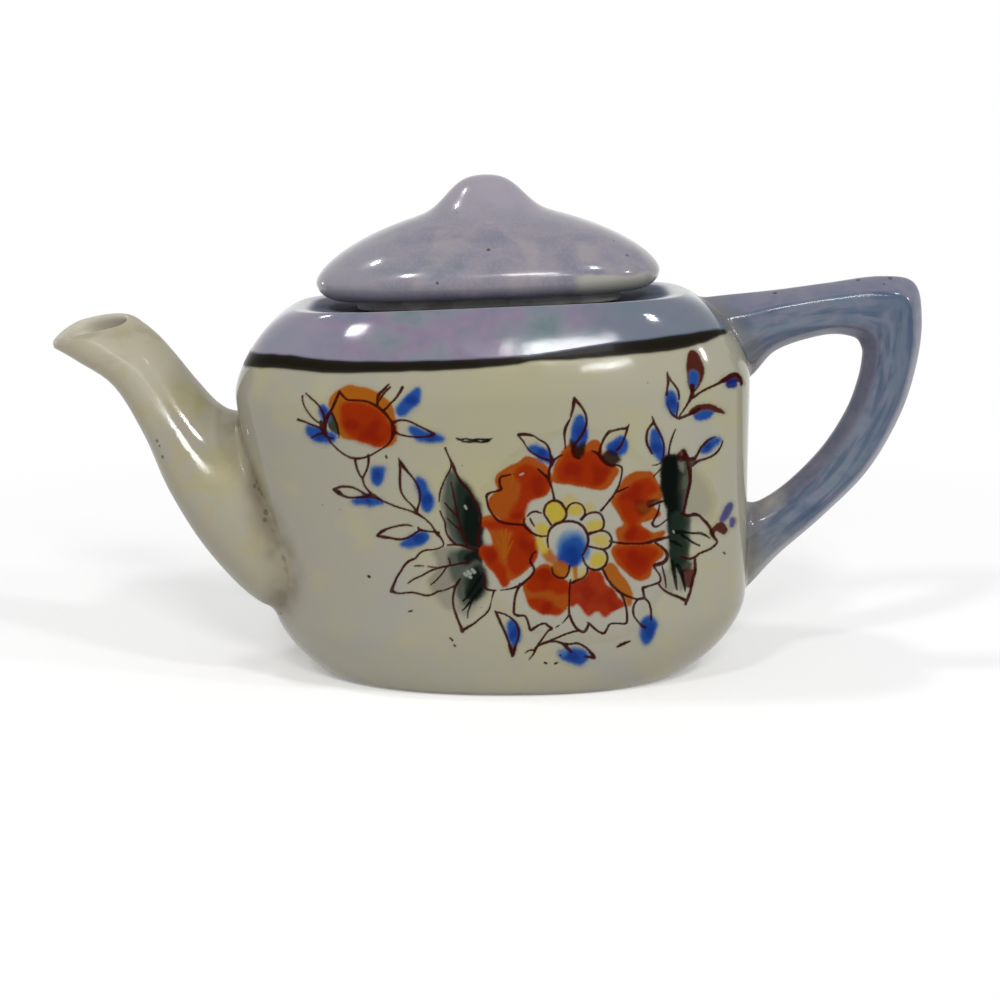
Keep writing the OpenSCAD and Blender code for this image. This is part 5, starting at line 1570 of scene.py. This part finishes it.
def at_pixel(piece, x, y):
    """The point of a piece that the camera sees at a pixel of the picture, in millimetres."""
    corners, faces = [v.co for v in piece.data.vertices], [face.vertices for face in piece.data.polygons]
    tree = BVHTree.FromPolygons(corners, faces)
    turned = piece.matrix_world.inverted()
    start = turned @ (Vector(CAMERA_AT) * MM)
    way = turned.to_3x3() @ Vector(pixel_rays(np.array(x, float), np.array(y, float)))
    hit = tree.ray_cast(start, way)[0]
    return tuple(hit / MM) if hit else None


def specks(nodes, colour, piece, marks, tone=(46, 38, 34)):
    for x, y, radius in marks:
        place = at_pixel(piece, x, y)
        if place:
            colour = nodes.tint(colour, tone, nodes.ball(*place, radius * 1.3), 0.8)
    return colour


def freckle(nodes, colour, size=3.2, tone=(70, 62, 48)):
    """Sparse pinholes and iron specks of a cheap glaze."""
    cells = nodes.add("ShaderNodeTexVoronoi", {"Vector": nodes.at, "Scale": 1 / size}, feature="F1").outputs
    number = nodes.add("ShaderNodeSeparateColor", {0: cells["Color"]}).outputs[0]
    near = nodes.remap(cells["Distance"], 0.025, 0.05, 1.0, 0.0)
    return nodes.tint(colour, tone, near, nodes.math("GREATER_THAN", number, 0.86), 0.6)


def body_material():
    nodes = Nodes("body_glaze_lustre")
    colour = joint_stain_and_shade(nodes, freckle(nodes, body_colour(nodes)))
    material = nodes.finish(colour, (0.14, 0.24), 0.05, 0.0035, gloss=0.36, coat=0)
    even = nodes.patches((6, 4), 0.3, 0.7, 0.07, 0.13)
    nodes.shade(Roughness=nodes.plus(even, nodes.times(nodes.value("gallery"), 0.7)))
    return material


def paint_material():
    """Enamel over the body's glaze: the body's own colour where the paint thins out."""
    nodes = Nodes("painted_enamel")
    paint = nodes.value("paint", "Color")
    dulled = nodes.add("ShaderNodeHueSaturation", {"Value": 0.7, "Color": paint}).outputs[0]
    pigment = nodes.blend(nodes.patches((0.9, 3), 0.35, 0.75, 0.0, 0.12), paint, dulled)
    colour = nodes.blend(nodes.value("paint", "Alpha"), body_colour(nodes), pigment)
    return nodes.finish(colour, (0.12, 0.22), 0.05, 0.0025, gloss=0.02)


def spout_material(piece):
    nodes = Nodes("spout_glaze_lustre")
    cream = cream_glaze(nodes)
    top = nodes.remap(nodes.ragged(nodes.z, 10, 7, 3), 44, 62)
    cream = nodes.tint(nodes.tint(cream, (156, 150, 132), 0.6), (166, 159, 138), top)
    for x, y, height, reach in ((-51.0, -6.0, 47.5, 6.5), (-46.5, -8.0, 34.5, 8.0)):
        cream = nodes.tint(cream, (154, 147, 108), nodes.ball(x, y, height, reach, 3.0), 0.75)
    olive = nodes.patches((4.5, 3, 0.3, (0.6, 1, 1.6)), 0.54, 0.72)
    cream = nodes.tint(cream, (126, 120, 84), olive, 0.3, top)
    cream = nodes.tint(cream, (160, 148, 112), nodes.patches((5.5, 3, 0.5), 0.52, 0.66), 0.5)
    # Painted light: the inside of the mouth is paler than the outside, as if light reached into it
    cream = nodes.tint(cream, (188, 183, 166), nodes.value("inside"))
    cream = specks(nodes, joint_stain_and_shade(nodes, freckle(nodes, cream)), piece, SPECKS["spout"], (84, 72, 52))
    material = nodes.finish(cream, (0.3, 0.42), 0.08, 0.004, gloss=0.3, coat=0.04)
    pooled = nodes.ball(-50.5, -8.0, 41.5, 13.0, fade=0.0)
    nodes.shade(Roughness=nodes.remap(pooled, 0.0, 0.9, 0.4, 0.08))
    return material


def handle_material(piece):
    nodes = Nodes("handle_lustre_pearl")
    out, limb = nodes.value("out"), nodes.value("limb")
    # Far right of the loop darker and bluer: partly its lustre, partly painted shade on the side turned from
    # the light
    deep = nodes.remap(nodes.ragged(nodes.x, 8, 6, 3), 60, 72)
    flat = nodes.tint(pearl(nodes, HANDLE_PEARL, 8.0), (70, 86, 108), deep, 0.5)
    at = nodes.add("ShaderNodeCombineXYZ", {0: out, 1: limb}).outputs[0]
    streaks = nodes.patches((1, 3, 0.6, (2.6, 7, 1), at), 0.42, 0.66, 0.0, 0.75)
    flat = nodes.tint(flat, (50, 68, 94), streaks)
    flat = nodes.tint(flat, (56, 76, 102), nodes.remap(out, 0.1, 0.8, 0.0, 0.45))
    worn = nodes.ragged(nodes.value("bevel"), 0.3, 1.8, 3)
    colour = nodes.blend(nodes.remap(worn, 0.35, 0.85, 0.0, 0.85), flat, pearl(nodes, BEVEL_PEARL, 6.0))
    faded = nodes.remap(nodes.ragged(nodes.z, 9, 4, 4, 0.6), 21, 31, 1.0, 0.0)
    colour = nodes.tint(colour, (142, 142, 138), faded, 0.7)
    # Pale spot at the lower root: partly cream glaze where the lustre thins, partly a painted highlight
    colour = nodes.tint(colour, (166, 163, 156), nodes.ball(42.5, -3.5, 31.5, 7.0, 2.0), 0.85)
    colour = joint_stain_and_shade(nodes, freckle(nodes, colour, 2.6, (60, 52, 56)), 0.5)
    return nodes.finish(specks(nodes, colour, piece, SPECKS["handle"]), (0.14, 0.26), 0.06, 0.004)


def lid_material(piece):
    nodes = Nodes("lid_lustre_pearl")
    colour = pearl(nodes, LID_PEARL, 9.0)
    colour = nodes.tint(colour, (156, 152, 160), nodes.patches((0.45, 2), 0.4, 0.7, 0.0, 0.2))
    colour = nodes.tint(colour, (150, 148, 154), nodes.remap(nodes.x, -30, -12, 1.0, 0.0), 0.5)
    colour = nodes.tint(colour, (154, 146, 148), nodes.patches((7, 3, 0.3), 0.5, 0.66, 0.0, 0.5))
    colour = nodes.tint(colour, (156, 149, 160), nodes.remap(nodes.z, 74, 80), 0.7)
    low = nodes.remap(nodes.ragged(nodes.z, 1.6, 3, 3), 68.3, 69.0, 1.0, 0.0)
    right = nodes.remap(nodes.ragged(nodes.x, 4, 4, 2), 12.5, 15)
    colour = nodes.tint(colour, (164, 162, 152), low, right, 0.9)
    edge = nodes.ball(25.5, -7.0, 64.2, 6.0, 2.0)
    colour = nodes.tint(colour, (112, 92, 62), nodes.patches((1.6, 4), 0.5, 0.66), edge, 0.6)
    colour = specks(nodes, freckle(nodes, colour, 3.6, (80, 70, 74)), piece, SPECKS["lid"])
    return nodes.finish(colour, (0.13, 0.22), 0.06, 0.0035)


def flange_material():
    nodes = Nodes("flange_bisque_stained")
    clay = nodes.ramp(nodes.noise(2.6, 5), CLAY)
    colour = nodes.tint(clay, (104, 94, 74), nodes.patches((5, 4), 0.48, 0.64), 0.45)
    return nodes.finish(colour, (0.55, 0.8), 0.02, 0.012, coat=0)


# Camera and lights

def look(thing, at, aim):
    thing.location = at
    thing.rotation_euler = (aim - at).to_track_quat("-Z", "Y").to_euler()


def make_camera():
    data = bpy.data.cameras.new("camera")
    data.lens, data.sensor_width = LENS_MM, SENSOR_MM
    data.clip_start, data.clip_end = 0.01, 20
    camera = add_object("camera", data)
    look(camera, Vector(CAMERA_AT) * MM, Vector(CAMERA_AIM) * MM)
    bpy.context.scene.camera = camera


FLOOR_SIZE = 6.0
FLOOR_TONE = (0.86, 0.86, 0.86)
FLOOR_ROUGH = 0.9
# Light of the floor's own, which keeps its shadow pale
FLOOR_GLOW = 0.28
# How far from the pot the floor still shows light and shadow, in millimetres, before it is plain white
SHADOW_NEAR, SHADOW_FAR = 100, 240
WHITE = (1, 1, 1)
AMBIENT = 0.34
# Soft boxes: name, degrees to the right of the camera and up, distance, width and height in metres, watts
LAMPS = [
    ("window", 7, 34, 1.4, 0.32, 0.13, 4.2),
    ("low_window", 14, 27, 1.4, 0.26, 0.03, 1.2),
    ("left_window", -26, 42, 1.5, 0.12, 0.16, 3.6),
    ("right_window", 40, 46, 1.4, 0.12, 0.12, 2.6),
    ("far_right_lamp", 68, 25, 1.4, 0.1, 0.12, 2.2),
    ("left_lamp", -86, 60, 1.3, 0.14, 0.1, 2.4),
    ("back_left_lamp", -124, 4, 1.3, 0.06, 0.3, 1.0),
]
LAMP_AIM = Vector((0, 0, 0.04))


def white_for_the_camera(tree, lit, shown):
    """One shader for what lights the object, and another for what the camera and reflections see."""
    rays = add_node(tree, "ShaderNodeLightPath").outputs
    seen = rays["Is Camera Ray"]
    for name in ("Is Glossy Ray", "Is Transmission Ray"):
        seen = add_node(tree, "ShaderNodeMath", {0: seen, 1: rays[name]}, operation="MAXIMUM").outputs[0]
    return add_node(tree, "ShaderNodeMixShader", {0: seen, 1: lit, 2: shown}).outputs[0]


def make_floor():
    """A plain white floor that keeps the object's shadow."""
    half = FLOOR_SIZE / 2
    mesh = bpy.data.meshes.new("floor")
    corners = [(-half, -half, 0), (half, -half, 0), (half, half, 0), (-half, half, 0)]
    mesh.from_pydata(corners, [], [(0, 1, 2, 3)])
    nodes = Nodes("plain_floor")
    nodes.shade(Base_Color=FLOOR_TONE, Roughness=FLOOR_ROUGH, Specular_IOR_Level=0)
    matte = nodes.shader.outputs[0]
    glow = nodes.add("ShaderNodeEmission", {"Strength": FLOOR_GLOW}).outputs[0]
    near = nodes.add("ShaderNodeAddShader", {0: matte, 1: glow}).outputs[0]
    away = nodes.remap(nodes.vector("LENGTH", nodes.at, output="Value"), SHADOW_NEAR, SHADOW_FAR)
    white = nodes.add("ShaderNodeEmission").outputs[0]
    shown = nodes.add("ShaderNodeMixShader", {0: away, 1: near, 2: white}).outputs[0]
    surface = white_for_the_camera(nodes.tree, matte, shown)
    feed(nodes.tree, nodes.tree.nodes["Material Output"].inputs["Surface"], surface)
    mesh.materials.append(nodes.material)
    add_object("floor", mesh)


def make_lights():
    """Soft boxes that shine at the middle of the pot, and even light from all round."""
    for name, right, up, distance, width, height, power in LAMPS:
        data = bpy.data.lights.new(name, "AREA")
        data.shape = "RECTANGLE"
        data.size, data.size_y, data.energy = width, height, power
        right, up = math.radians(right), math.radians(up)
        toward = Vector((math.sin(right) * math.cos(up), -math.cos(right) * math.cos(up), math.sin(up)))
        look(add_object(name, data), LAMP_AIM + toward * distance, LAMP_AIM)
    world = bpy.data.worlds.new("world")
    bpy.context.scene.world = world
    world.use_nodes = True
    tree = world.node_tree
    lit = tree.nodes["Background"]
    feed(tree, lit.inputs["Color"], WHITE)
    feed(tree, lit.inputs["Strength"], AMBIENT)
    shown = add_node(tree, "ShaderNodeBackground", {"Color": WHITE})
    both = white_for_the_camera(tree, lit.outputs[0], shown.outputs[0])
    feed(tree, tree.nodes["World Output"].inputs["Surface"], both)


spout, spout_joint = make_spout()
handle, handle_joint = make_handle()
pot = make_pot(np.concatenate([spout_joint, handle_joint]))
cover = make_lid_cover()
knob = make_knob()
flange = make_flange()
spray = make_spray()
band = make_band()
make_camera()
make_floor()

enamel = paint_material()
lid_glaze = lid_material(cover)
for piece, body, slot, node, material in (
    (pot, "pot", "body_glaze", "pot_body", body_material()),
    (spout, "pot", "spout_glaze", "spout", spout_material(spout)),
    (handle, "pot", "handle_lustre", "handle", handle_material(handle)),
    (cover, "lid", "lid_lustre", "lid_cover", lid_glaze),
    (knob, "lid", "lid_lustre", "lid_knob", lid_glaze),
    (flange, "lid", "flange_bisque", "lid_flange", flange_material()),
    (spray, "pot", "body_glaze", None, enamel),
    (band, "pot", "body_glaze", None, enamel),
):
    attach(piece, body)
    piece.data.materials.append(material)
    if node:
        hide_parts(node)

make_lights()
bpy.context.scene.view_settings.view_transform = "Standard"
